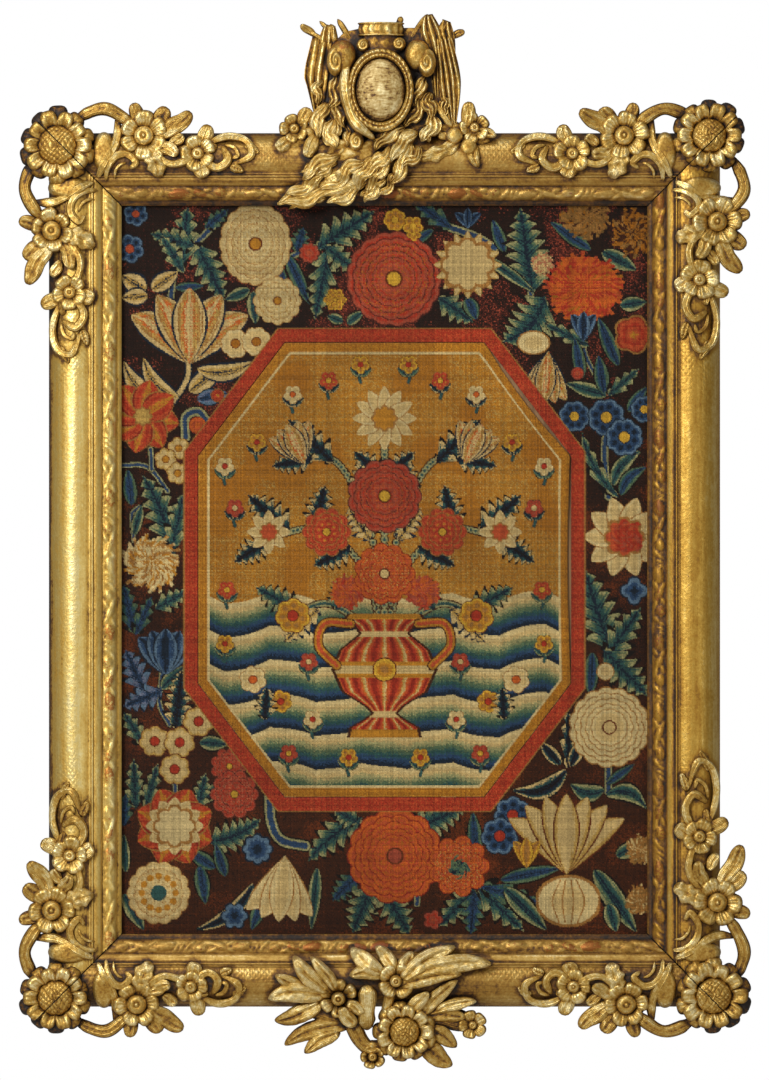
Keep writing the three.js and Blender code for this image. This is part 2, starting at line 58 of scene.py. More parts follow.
railLow, railHigh = nodeBox("rail_top")
railWidth = railHigh[2] - railLow[2]
outerTop = railHigh[2]
outerX = nodeBox("rail_right")[1][0]
outerBottom = nodeBox("rail_bottom")[0][2]
sightX = outerX - railWidth
sightTop = outerTop - railWidth
sightBottom = outerBottom + railWidth
sightMiddle = (sightTop + sightBottom) / 2
clothFront = -nodeBox("needlepoint_border")[0][1]
clothHalfX = nodeBox("needlepoint_border")[1][0]
hiddenCloth = clothHalfX - sightX
medallionHalf = nodeBox("needlepoint_medallion")[1][[0, 2]] - [0, sightMiddle]
print("stage: sight opening", 2 * sightX, "by", sightTop - sightBottom, "mm")


# Colours and nodes
def linear(hexColour):
    # sRGB hex to linear
    part = np.array([int(hexColour[i : i + 2], 16) / 255 for i in (1, 3, 5)])
    return np.where(part <= 0.04045, part / 12.92, ((part + 0.055) / 1.055) ** 2.4)


def addNode(tree, kind, inputs=None, stops=None, **settings):
    # a node given as an input stands for its first output
    made = tree.nodes.new(kind)
    for key, value in settings.items():
        setattr(made, key, value)
    for key, value in (inputs or {}).items():
        if isinstance(value, bpy.types.Node):
            tree.links.new(value.outputs[0], made.inputs[key])
        elif isinstance(value, bpy.types.NodeSocket):
            tree.links.new(value, made.inputs[key])
        elif isinstance(value, str):
            made.inputs[key].default_value = (*linear(value), 1)
        else:
            made.inputs[key].default_value = value
    for i, (at, colour) in enumerate(stops or ()):
        element = made.color_ramp.elements[i] if i < 2 else made.color_ramp.elements.new(at)
        element.position = at
        element.color = (*(linear(colour) if isinstance(colour, str) else [colour] * 3), 1)
    return made


def newMaterial(name):
    made = bpy.data.materials.new(name)
    made.use_nodes = True
    made.node_tree.nodes.clear()
    return made, made.node_tree


def finishMaterial(tree, surface):
    addNode(tree, "ShaderNodeOutputMaterial", {"Surface": surface})


def waveScale(apart):
    # the scale that sets a wave texture's bands this many mm apart
    return np.pi / 10 / (apart * mm)


# What each point of a carving says: its tone from how far it stands proud, with dirt and painted shade in the
# hollows, how much bole shows, whether it is engraved, and the number of the fine rib that it lies on
pointLayers = ("shadedRelief", "bole", "engraved", "ribs")
openMitre = {"half": 0.8, "waver": 1.5, "colour": "#120a04"}


# Gold leaf on red bole over carved wood: pale where the leaf is rubbed bright, brown with dirt and painted
# shade in the hollows, with the bole showing on worn places and small tool marks all over.
def gildedWood(name, look):
    made, tree = newMaterial(name)
    place = addNode(tree, "ShaderNodeTexCoord").outputs["Object"]
    shadedRelief, bole, engraved, ribs = (
        addNode(tree, "ShaderNodeAttribute", attribute_name=layer).outputs["Fac"] for layer in pointLayers)
    drawn = addNode(tree, "ShaderNodeMapping", {"Vector": place, "Scale": look["streakScale"]})

    # fine ribs are a sine of the ribs attribute, shifted a little by noise, and there are none near nought
    sway = addNode(tree, "ShaderNodeTexNoise", {"Vector": place, "Scale": 1 / (look["sway"] * mm)})
    shifted = addNode(tree, "ShaderNodeMath", {0: sway, 1: 0.7, 2: ribs}, operation="MULTIPLY_ADD")
    turns = addNode(tree, "ShaderNodeMath", {0: shifted, 1: 2 * np.pi}, operation="MULTIPLY")
    ribWave = addNode(tree, "ShaderNodeMath", {0: turns}, operation="SINE")
    smooth = addNode(tree, "ShaderNodeMath", {0: ribs, 1: 0.0, 2: 0.5}, operation="COMPARE")
    ribHeight = addNode(tree, "ShaderNodeMix", {0: smooth, 2: ribWave, 3: 0.0})

    # the tone is the relief with its dirt and painted shade, shifted up and down by the ribs and by noises of
    # four sizes
    ribTone = {0: ribHeight, 1: look["ribTone"], 2: shadedRelief}
    tone = addNode(tree, "ShaderNodeMath", ribTone, operation="MULTIPLY_ADD")
    noises = {}
    layers = (("patch", place, 4), ("blotch", place, 4), ("speck", place, 3), ("streak", drawn, 5))
    for key, vector, detail in layers:
        size, share = look[key]
        noises[key] = addNode(tree, "ShaderNodeTexNoise", {
            "Vector": vector, "Scale": 1 / (size * mm), "Detail": detail, "Roughness": 0.62})
        centred = addNode(tree, "ShaderNodeMath", {0: noises[key], 1: -0.5}, operation="ADD")
        tone = addNode(tree, "ShaderNodeMath", {0: centred, 1: share, 2: tone}, operation="MULTIPLY_ADD")
    leafTones = [look[key] for key in ("dirtAndShade", "shade", "gold", "pale", "rubbed")]
    leafStops = zip((0.2, 0.34, 0.48, 0.66, 0.86), leafTones)
    leaf = addNode(tree, "ShaderNodeValToRGB", {"Fac": tone}, stops=leafStops)
    worn = addNode(tree, "ShaderNodeMath", {
        0: noises["patch"], 1: 0.5, 2: noises["speck"]}, operation="MULTIPLY_ADD")
    wornMore = addNode(tree, "ShaderNodeMath", {0: bole, 1: 0.34, 2: worn}, operation="MULTIPLY_ADD")
    boleStops = [(look["boleFrom"], 0.0), (look["boleFrom"] + 0.16, 0.8)]
    boleShare = addNode(tree, "ShaderNodeValToRGB", {"Fac": wornMore}, stops=boleStops)
    colour = addNode(tree, "ShaderNodeMix", {
        0: boleShare, 6: leaf, 7: look["bole"]}, data_type="RGBA").outputs[2]
    metal = addNode(tree, "ShaderNodeMapRange", {
        "Value": tone, "From Min": 0.22, "From Max": 0.55, "To Min": 0.1, "To Max": look["metal"]})
    dull = addNode(tree, "ShaderNodeMapRange", {
        "Value": tone, "From Min": 0.2, "From Max": 0.8, "To Min": 0.68, "To Max": look["rough"]})

    # tool marks and gesso grain, and crossed engraving lines where the ground is engraved
    marks = addNode(tree, "ShaderNodeTexVoronoi", {
        "Vector": place, "Scale": 1 / (look["marks"] * mm), "Smoothness": 0.6}, feature="SMOOTH_F1")
    marked = addNode(tree, "ShaderNodeMath", {0: marks, 1: 0.5, 2: noises["speck"]}, operation="MULTIPLY_ADD")
    lines = []
    for lean in look["engraving"]["leans"]:
        turned = addNode(tree, "ShaderNodeMapping", {"Vector": place, "Rotation": (0, lean, 0)})
        lines.append(addNode(tree, "ShaderNodeTexWave", {
            "Vector": turned, "Scale": waveScale(look["engraving"]["apart"]), "Distortion": 1.4,
            "Detail Scale": 3.0}).outputs["Fac"])
    crossed = addNode(tree, "ShaderNodeMath", {0: lines[0], 1: lines[1]}, operation="MINIMUM")
    cut = addNode(tree, "ShaderNodeMath", {0: crossed, 1: engraved}, operation="MULTIPLY")
    scored = addNode(tree, "ShaderNodeMath", {0: cut, 1: 0.7, 2: marked}, operation="MULTIPLY_ADD")
    height = addNode(tree, "ShaderNodeMath", {0: ribHeight, 1: 0.28, 2: scored}, operation="MULTIPLY_ADD")
    bump = addNode(tree, "ShaderNodeBump", {"Height": height, "Strength": look["bump"], "Distance": 0.9 * mm})

    # the mitres have opened: a crack lies where |z| from the middle, less |x|, is that of the mitre
    parts = addNode(tree, "ShaderNodeSeparateXYZ", {0: place}).outputs
    across = addNode(tree, "ShaderNodeMath", {0: parts[0]}, operation="ABSOLUTE")
    level = addNode(tree, "ShaderNodeMath", {0: parts[2], 1: -sightMiddle * mm}, operation="ADD")
    up = addNode(tree, "ShaderNodeMath", {0: level}, operation="ABSOLUTE")
    apart = addNode(tree, "ShaderNodeMath", {0: up, 1: across}, operation="SUBTRACT")
    wavered = addNode(tree, "ShaderNodeMath", {0: sway, 1: 2 * openMitre["waver"] * mm, 2: apart},
        operation="MULTIPLY_ADD")
    mitre = (outerTop - sightMiddle - outerX + openMitre["waver"]) * mm
    crack = addNode(tree, "ShaderNodeMath", {
        0: wavered, 1: mitre, 2: openMitre["half"] * mm}, operation="COMPARE")
    dark = {0: crack, 6: colour, 7: openMitre["colour"]}
    cracked = addNode(tree, "ShaderNodeMix", dark, data_type="RGBA").outputs[2]
    surface = addNode(tree, "ShaderNodeBsdfPrincipled", {
        "Base Color": cracked, "Metallic": metal, "Roughness": dull, "Normal": bump})
    finishMaterial(tree, surface)
    return made


# Sizes are in mm. A pair is the size of a noise and its share in the tone.
goldLook = {
    "patch": (48.0, 0.4), "blotch": (9.0, 0.5), "speck": (2.6, 0.55), "streak": (6.0, 0.0),
    "streakScale": (1.0, 1.0, 1.0), "sway": 7.0, "ribTone": 0.05, "marks": 5.0, "bump": 0.6,
    # the darkest tone is for dirt and painted shade in the deepest hollows
    "engraving": {"apart": 4.2, "leans": (0.75, -0.62)}, "dirtAndShade": "#1c0f05", "shade": "#5f3c12",
    "gold": "#a97d2d", "pale": "#cfae60", "rubbed": "#efdfaa", "bole": "#8f4c20", "boleFrom": 0.98,
    "metal": 0.78, "rough": 0.36,
}


# Surfaces. A skin is closed: rings of points one after another, with a fan over each end.
def skin(rings, ribs=0.0):
    # ribs numbers the fine ribs across the surface, and is nought where it has none
    rings = np.asarray(rings, float)
    count, around = rings.shape[:2]
    points = np.vstack([rings.reshape(-1, 3), rings[0].mean(0), rings[-1].mean(0)])
    ring = np.arange(around)
    following = (ring + 1) % around
    start = (np.arange(count - 1) * around)[:, None]
    quads = np.stack([start + ring, start + following, start + following + around, start + ring + around], -1)
    quads = quads.reshape(-1, 4)
    last = (count - 1) * around
    fans = np.vstack([
        np.stack([following, ring, np.full(around, count * around)], 1),
        np.stack([last + ring, last + following, np.full(around, count * around + 1)], 1),
    ])
    triangles = np.vstack([quads[:, [0, 1, 2]], quads[:, [0, 2, 3]], fans])
    a, b, c = (points[triangles[:, i]] for i in range(3))
    # x, h, z is a mirrored frame, so a skin that encloses its volume there has its faces turned
    if (a * np.cross(b, c)).sum() > 0:
        quads, fans = quads[:, ::-1], fans[:, ::-1]
    numbers = np.append(np.broadcast_to(ribs, (count, around)).ravel(), [0, 0])
    return {"points": points, "quads": quads, "fans": fans, "ribs": numbers}


def joinedSkins(skins):
    offsets = np.cumsum([0] + [len(one["points"]) for one in skins[:-1]])
    kept = {key: np.hstack([one.get(key, np.zeros(len(one["points"]))) for one in skins])
        for key in ("bole", "ribs", "outerDarkening")}
    return {
        **kept,
        "points": np.vstack([one["points"] for one in skins]),
        "quads": np.vstack([one["quads"] + offset for one, offset in zip(skins, offsets)]),
        "fans": np.vstack([one["fans"] + offset for one, offset in zip(skins, offsets)]),
    }


def meshObject(name, shape, material):
    points, quads, fans = shape["points"], shape["quads"], shape["fans"]
    mesh = bpy.data.meshes.new(name)
    mesh.vertices.add(len(points))
    mesh.vertices.foreach_set("co", (points * [mm, -mm, mm]).ravel())
    mesh.loops.add(4 * len(quads) + 3 * len(fans))
    mesh.loops.foreach_set("vertex_index", np.concatenate([quads.ravel(), fans.ravel()]).astype(np.int32))
    mesh.polygons.add(len(quads) + len(fans))
    starts = np.concatenate([4 * np.arange(len(quads)), 4 * len(quads) + 3 * np.arange(len(fans))])
    mesh.polygons.foreach_set("loop_start", starts.astype(np.int32))
    mesh.update(calc_edges=True)
    mesh.shade_smooth()
    mesh.materials.append(material)
    made = bpy.data.objects.new(name, mesh)
    bpy.context.scene.collection.objects.link(made)
    return made


def join(piece, node):
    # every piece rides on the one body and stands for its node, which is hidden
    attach(piece, "root")
    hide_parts(node)


outwards = np.array([0.0, 1.0, 0.0])


# A smooth curve through a few points (Catmull-Rom), with count points on it
def smoothPath(points, count):
    p = np.asarray(points, float)
    p = np.vstack([2 * p[0] - p[1], p, 2 * p[-1] - p[-2]])
    along = np.linspace(0, len(p) - 3, count)
    i = np.minimum(along.astype(int), len(p) - 4)
    f = (along - i)[:, None]
    a, b, c, d = p[i], p[i + 1], p[i + 2], p[i + 3]
    return 0.5 * (2 * b + (c - a) * f + (2 * a - 5 * b + 4 * c - d) * f**2 + (3 * b - a - 3 * c + d) * f**3)


def softNoise(shape, cell, seed):
    # random numbers on a coarse grid, spread smoothly between its points, 0 to 1
    coarse = np.random.default_rng(seed).random((int(shape[0] / cell) + 3, int(shape[1] / cell) + 3))
    rows, columns = (np.arange(n) / cell for n in shape)
    i, j = rows.astype(int), columns.astype(int)
    f, g = (3 * t**2 - 2 * t**3 for t in (rows - i, columns - j))
    near = coarse[np.ix_(i, j)] * (1 - g) + coarse[np.ix_(i, j + 1)] * g
    far = coarse[np.ix_(i + 1, j)] * (1 - g) + coarse[np.ix_(i + 1, j + 1)] * g
    return near * (1 - f[:, None]) + far * f[:, None]


# Camera: level, in front of the picture's middle, with a long lens
view = {"distance": 6.0, "height": 1.080, "middle": -0.3715, "plane": -0.03}
camera = bpy.data.objects.new("camera", bpy.data.cameras.new("camera"))
camera.location = (0, view["plane"] - view["distance"], view["middle"])
camera.rotation_euler = (np.pi / 2, 0, 0)
camera.data.sensor_width = 36
camera.data.lens = camera.data.sensor_width * view["distance"] / view["height"]
camera.data.clip_end = 50
bpy.context.scene.collection.objects.link(camera)
bpy.context.scene.camera = camera


# Studio: white behind, soft boxes at the upper left, the lower right and above, and a pale floor well
# below. Places and sizes of lights are in metres.
studioLook = {
    "soft": {"Color": "#cfcac2", "Strength": 0.36},
    "white": {"Color": "#ffffff", "Strength": 1.0},
    "boxes": {
        "key_light": {"at": (-1.3, -2.1, 0.55), "size": 0.9, "power": 52},
        "fill_light": {"at": (1.7, -2.6, -0.9), "size": 1.8, "power": 14},
        "top_light": {"at": (-0.2, -0.8, 1.4), "size": 0.8, "power": 9},
    },
    "floor": {"half": 1500, "below": 360, "cells": 24, "colour": "#e4e1dc"},
}


def studio():
    scene = bpy.context.scene
    scene.view_settings.view_transform = "Standard"
    world = bpy.data.worlds.new("studio")
    scene.world = world
    world.use_nodes = True
    tree = world.node_tree
    tree.nodes.clear()
    seen = addNode(tree, "ShaderNodeLightPath").outputs["Is Camera Ray"]
    soft, white = (addNode(tree, "ShaderNodeBackground", studioLook[key]) for key in ("soft", "white"))
    both = addNode(tree, "ShaderNodeMixShader", {0: seen, 1: soft, 2: white})
    addNode(tree, "ShaderNodeOutputWorld", {"Surface": both})
    for name, box in studioLook["boxes"].items():
        light = bpy.data.lights.new(name, "AREA")
        light.size = box["size"]
        light.energy = box["power"]
        lamp = bpy.data.objects.new(name, light)
        lamp.location = box["at"]
        x, y, z = np.array([0, 0, sightMiddle * mm]) - np.array(box["at"])
        lamp.rotation_euler = (np.arctan2(np.hypot(x, y), -z), 0, np.arctan2(x, -y) + np.pi)
        scene.collection.objects.link(lamp)

    floor = studioLook["floor"]
    count = floor["cells"]
    side = np.linspace(-floor["half"], floor["half"], count + 1)
    x, h = np.meshgrid(side, side, indexing="ij")
    top = np.stack([x, h, np.full_like(x, outerBottom - floor["below"])], -1).reshape(-1, 3)
    cell = (np.arange(count) * (count + 1))[:, None] + np.arange(count)
    quads = np.stack([cell, cell + 1, cell + count + 2, cell + count + 1], -1).reshape(-1, 4)
    made, tree = newMaterial("painted_floor")
    surface = addNode(tree, "ShaderNodeBsdfPrincipled", {"Base Color": floor["colour"], "Roughness": 0.8})
    finishMaterial(tree, surface)
    meshObject("floor", {"points": top, "quads": quads, "fans": np.zeros((0, 3), int)}, made)


studio()
print("stage: camera and light")


# Needlework. Places on it are millimetres across from the sight opening's left edge and down from its top.
stitching = {
    "pitch": 1.6, "seed": 7, "streak": 0.15, "fleck": 0.26, "ripple": 0.35, "aged": (0.71, 0.61, 0.43),
    "strandWide": 1.5, "thick": 1.6, "seam": 0.2, "bump": 0.8, "bead": 0.6, "fuzz": 0.7, "rough": 0.86,
    "sheen": 0.06, "shine": 0.2,
}
wool = {name: linear(colour) for name, colour in {
    "black": "#17100d", "soot": "#26160f", "bark": "#43230f", "rust": "#6a3416", "maroon": "#56251f",
    "rose": "#aa5242", "pink": "#bd7c66", "navy": "#16263f", "blue": "#2b4a7d", "sky": "#5d7fae",
    "teal": "#2f5a63", "green": "#5d7a66", "sage": "#a3a883", "cream": "#d2bf90", "pale": "#dccfa6",
    "straw": "#c2a662", "tan": "#a67c45", "gold": "#bf8a2e", "ochre": "#a9701f", "orange": "#c8652a",
    "coral": "#bf5736", "red": "#b03a26", "brick": "#8f2c1d", "yellow": "#d6b040", "lilac": "#6f7fae",
    "fawn": "#8a6a3a",
}.items()}


def stitchField():
    reaches = {"across": 2 * sightX, "down": sightTop - sightBottom}
    lines = {}
    for way, reach in reaches.items():
        count = round(reach / stitching["pitch"])
        lines[way] = np.hstack([-hiddenCloth, np.linspace(0, reach, count + 1), reach + hiddenCloth])
    # every square of canvas takes four wools, one in each quarter
    across, down = (
        (one[:-1, None] + np.diff(one)[:, None] * [0.25, 0.75]).ravel()
        for one in (lines["across"], lines["down"]))
    size = (len(down), len(across))
    return {
        "acrossLines": lines["across"], "downLines": lines["down"], "across": across, "down": down,
        "colour": np.zeros((*size, 3)), "fleck": np.random.default_rng(stitching["seed"]).random(size),
    }


def window(field, place, reach):
    # the stitches near a place: their offsets from it, and views of their colours and flecks
    columns = slice(*np.searchsorted(field["across"], [place[0] - reach, place[0] + reach]))
    rows = slice(*np.searchsorted(field["down"], [place[1] - reach, place[1] + reach]))
    a, d = np.meshgrid(field["across"][columns] - place[0], field["down"][rows] - place[1])
    return a, d, field["colour"][rows, columns], field["fleck"][rows, columns]


def layBands(colour, fleck, share, bands, inside=True, strand=0.5):
    # bands are [share, wool] from the outside in: a stitch takes the last whose share it lies within.
    # Their edges are loosened by single stitches and by strands, which run along a petal or leaf.
    for i, (limit, name) in enumerate(bands):
        loose = share + ((fleck - 0.5) * 0.16 + (strand - 0.5) * 0.3) * (i > 1) + (fleck - 0.5) * 0.04
        colour[(loose < limit) & inside] = wool[name]


strandTable = np.random.default_rng(4).random(997)


def strandsOf(out, t):
    # a chance for each strand, from its number across and its stretch along
    number = np.floor(out / stitching["strandWide"]) * 7 + np.floor(t * 2.5) * 131
    return strandTable[number.astype(int) % len(strandTable)]


# A leaf's own places: t along it from base to tip, and out from its midrib, which bends sideways in an arc
def leafPlaces(field, base, tip, width, bend):
    step = np.subtract(tip, base)
    length = np.hypot(*step)
    a, d, colour, fleck = window(field, np.add(base, tip) / 2, length / 2 + width + abs(bend))
    t = (a * step[0] + d * step[1]) / length**2 + 0.5
    out = (d * step[0] - a * step[1]) / length - bend * 4 * t * (1 - t)
    return t, np.clip(t, 0.001, 0.999), out, colour, fleck


# A leaf or pointed petal from base to tip. Its bands go by how far out towards its edge a stitch lies.
def blade(field, base, tip, width, bands, bend=0, full=0.8):
    t, along, out, colour, fleck = leafPlaces(field, base, tip, width, bend)
    half = width / 2 * np.sin(np.pi * along**full) ** 0.7
    layBands(
        colour, fleck, np.abs(out) / np.maximum(half, 0.3), bands, (t > 0) & (t < 1), strandsOf(out, along))


# A round shape. Its rim waves in and out by depth, lobes times round.
def disc(field, place, radius, bands, lobes=0, depth=0.0, stretch=(1, 1)):
    a, d, colour, fleck = window(field, place, radius * (1 + depth) * max(stretch) + 2)
    angle = np.arctan2(d / stretch[1], a / stretch[0])
    rim = radius * (1 + depth * (2 * np.abs(np.cos(lobes * angle / 2)) - 1) * bool(lobes))
    layBands(colour, fleck, np.hypot(a / stretch[0], d / stretch[1]) / rim, bands)


# Round petals in a ring, each shaded from its own rim inwards
def petalRing(field, place, ringRadius, petals, radius, bands, turn=0.0, stretch=(1, 1)):
    a, d, colour, fleck = window(field, place, (ringRadius + radius) * max(stretch) + 2)
    a, d = a / stretch[0], d / stretch[1]
    step = 2 * np.pi / petals
    nearest = np.round((np.arctan2(d, a) - turn) / step) * step + turn
    share = np.hypot(a - ringRadius * np.cos(nearest), d - ringRadius * np.sin(nearest)) / radius
    layBands(colour, fleck, share, bands)


def stitchedStem(field, points, width, bands):
    path = smoothPath(points, 36)
    middle = (path.max(0) + path.min(0)) / 2
    a, d, colour, fleck = window(field, middle, np.ptp(path, axis=0).max() / 2 + width)
    far = np.hypot(a[..., None] + middle[0] - path[:, 0], d[..., None] + middle[1] - path[:, 1]).min(-1)
    layBands(colour, fleck, far / (width / 2), bands)


# Thin rays in mixed wools, like a shaggy carnation. Each ray has its own reach and mix.
def rays(field, place, radius, names, stretch=(1, 1), count=46, ragged=0.3):
    a, d, colour, fleck = window(field, place, radius * 1.2 * max(stretch))
    a, d = a / stretch[0], d / stretch[1]
    far = np.hypot(a, d) / radius
    turn = np.arctan2(d, a) / (2 * np.pi) + 0.5
    ray = np.floor(turn * count + 1.6 * np.sin(far * 5)).astype(int) % count
    chance = np.random.default_rng(int(place[0] * 3 + place[1])).random((3, count))
    reach = 1 - ragged * chance[0][ray]
    mix = chance[1][ray] + 0.2 * fleck + 0.6 * ((far * 2.2 + chance[2][ray]) % 1)
    pick = np.clip((mix * len(names) / 1.8).astype(int), 0, len(names) - 1)
    for i, name in enumerate(names):
        colour[(far < reach) & (far > 0) & (pick == i)] = wool[name]


# Wools from the outside in, each with the share of the half-width or radius that it reaches out to
leafBands = {
    "teal": [(1.25, "black"), (1.0, "sage"), (0.78, "green"), (0.55, "teal"), (0.22, "navy")],
    "blue": [(1.25, "black"), (1.0, "green"), (0.75, "teal"), (0.5, "blue"), (0.2, "navy")],
    "cream": [(1.3, "navy"), (1.0, "cream"), (0.5, "straw"), (0.2, "navy")],
    "navy": [(1.2, "black"), (1.0, "cream"), (0.76, "teal"), (0.5, "navy"), (0.2, "black")],
    "lilac": [(1.2, "navy"), (1.0, "sky"), (0.75, "lilac"), (0.45, "blue"), (0.2, "navy")],
}
petalBands = {
    "cream": [(1.12, "tan"), (1.0, "pale"), (0.6, "cream")],
    "ivory": [(1.06, "tan"), (0.98, "cream"), (0.6, "pale"), (0.3, "cream")],
    "gold": [(1.12, "rust"), (1.0, "yellow"), (0.7, "gold"), (0.35, "tan")],
    "red": [(1.16, "tan"), (1.04, "brick"), (0.95, "coral"), (0.7, "red"), (0.45, "coral"), (0.2, "gold")],
    "rose": [(1.1, "maroon"), (1.0, "rose"), (0.75, "red"), (0.5, "rose"), (0.2, "coral")],
    "orange": [(1.1, "brick"), (1.0, "orange"), (0.7, "coral"), (0.4, "orange")],
    "blue": [(1.15, "navy"), (1.0, "sky"), (0.7, "blue"), (0.35, "navy")],
    "striped": [
        (1.16, "navy"), (1.0, "cream"), (0.8, "tan"), (0.62, "straw"), (0.42, "orange"), (0.24, "cream")],
    "yellow": [(1.15, "rust"), (1.0, "straw"), (0.7, "cream")],
}


# A leaf with forward-slanting lobes, parted by dark lines that run in towards its midrib
def featherLeaf(field, base, tip, width, bands="teal", lobes=4, bend=0):
    t, along, out, colour, fleck = leafPlaces(field, base, tip, width, bend)
    spread = np.abs(out) / (width / 2)
    phase = (along * (lobes + 1.2) - 1.3 * spread + 0.06 * np.sign(out)) % 1
    fullness = np.sin(np.pi * along**0.75) ** 0.6
    share = spread / np.maximum(fullness * (1.06 - 0.62 * phase**1.4), 0.05)
    inside = (t > -0.02) & (t < 1.02)
    layBands(colour, fleck, share, leafBands[bands], inside, strandsOf(phase * 9, along))
    parting = inside & (share < 0.95) & (spread > 0.2 * fullness) & ((phase > 0.9) | (phase < 0.05))
    colour[parting] = wool[leafBands[bands][-1][1]]


# A flower in rings of petals, laid from the outside in, each on a disc of their own wools. mottle flecks
# it.
def layeredFlower(field, place, radius, bands, rings=3, petals=11, heart="yellow", stretch=(1, 1), mottle=()):
    for i in range(rings):
        ringRadius = radius * (0.78 - 0.62 * i / rings)
        size = radius * (0.27 - 0.02 * i)
        disc(field, place, ringRadius + size * 0.4, petalBands[bands][1:], stretch=stretch)
        petalRing(
            field, place, ringRadius, petals - i, size, petalBands[bands], turn=0.5 * i, stretch=stretch)
    if mottle:
        a, d, colour, fleck = window(field, place, radius * 0.9)
        within = np.hypot(a / stretch[0], d / stretch[1]) < radius * 0.86
        for i, name in enumerate(mottle):
            colour[within & (fleck > 0.14 * i) & (fleck < 0.14 * i + 0.07)] = wool[name]
    disc(field, place, radius * 0.15, [(1.3, "rust"), (1.0, heart)])


# Pointed petals round a heart, given as [wool, share of the radius]
def starFlower(field, place, radius, bands, petals=8, heart=("cream", 0.3), turn=0.0, width=0.5):
    for angle in turn + 2 * np.pi * np.arange(petals) / petals:
        tip = np.add(place, [radius * np.cos(angle), radius * np.sin(angle)])
        blade(field, place, tip, radius * width, petalBands[bands], full=0.9)
    disc(field, place, radius * heart[1], [(1.2, "tan"), (1.0, heart[0])], lobes=8, depth=0.12)


def smallFlower(field, place, radius, bands, heart, petals=6):
    petalRing(field, place, radius * 0.6, petals, radius * 0.42, petalBands[bands], turn=0.3)
    disc(field, place, radius * 0.3, [(1.2, "navy" if bands == "blue" else "rust"), (1.0, heart)])


# A tulip opens from its base: long petals fan about its axis, the outer ones first
def tulip(field, base, height, spread, bands="striped", petals=5, heading=-90.0, width=0.42):
    order = sorted(range(petals), key=lambda i: -abs(i - (petals - 1) / 2))
    for i in order:
        off = (i - (petals - 1) / 2) / max((petals - 1) / 2, 1)
        angle = np.radians(heading + off * spread)
        tip = np.add(base, [height * np.cos(angle), height * np.sin(angle)])
        blade(field, base, tip, height * width, petalBands[bands], bend=-height * 0.1 * off, full=1.15)


# The border's ground: near-black wool above and warmer brown below, flecked in patches with maroon and rose
# above and with rust below
def ground(field):
    size = field["fleck"].shape
    down = np.clip(field["down"] / (sightTop - sightBottom), 0, 1)[:, None]
    tone = np.random.default_rng(21).random(size)
    patches = 0.6 * softNoise(size, 40, 3) + 0.4 * softNoise(size, 15, 4)
    warm = np.clip(1.6 * down - 0.35 + 0.8 * (patches - 0.5), 0, 1)
    field["colour"][:] = wool["soot"] * (1 - warm[..., None]) + wool["bark"] * warm[..., None]
    flecked = tone < np.clip(patches * 2.4 - 1.15, 0.02, 0.75)
    upper = flecked & (down < 0.34)
    field["colour"][upper] = wool["maroon"]
    field["colour"][upper & (tone % 0.1 < 0.025) & (patches > 0.5)] = wool["rose"]
    field["colour"][flecked & (down >= 0.3)] = wool["rust"]
    field["colour"][tone > 0.93] = wool["black"]


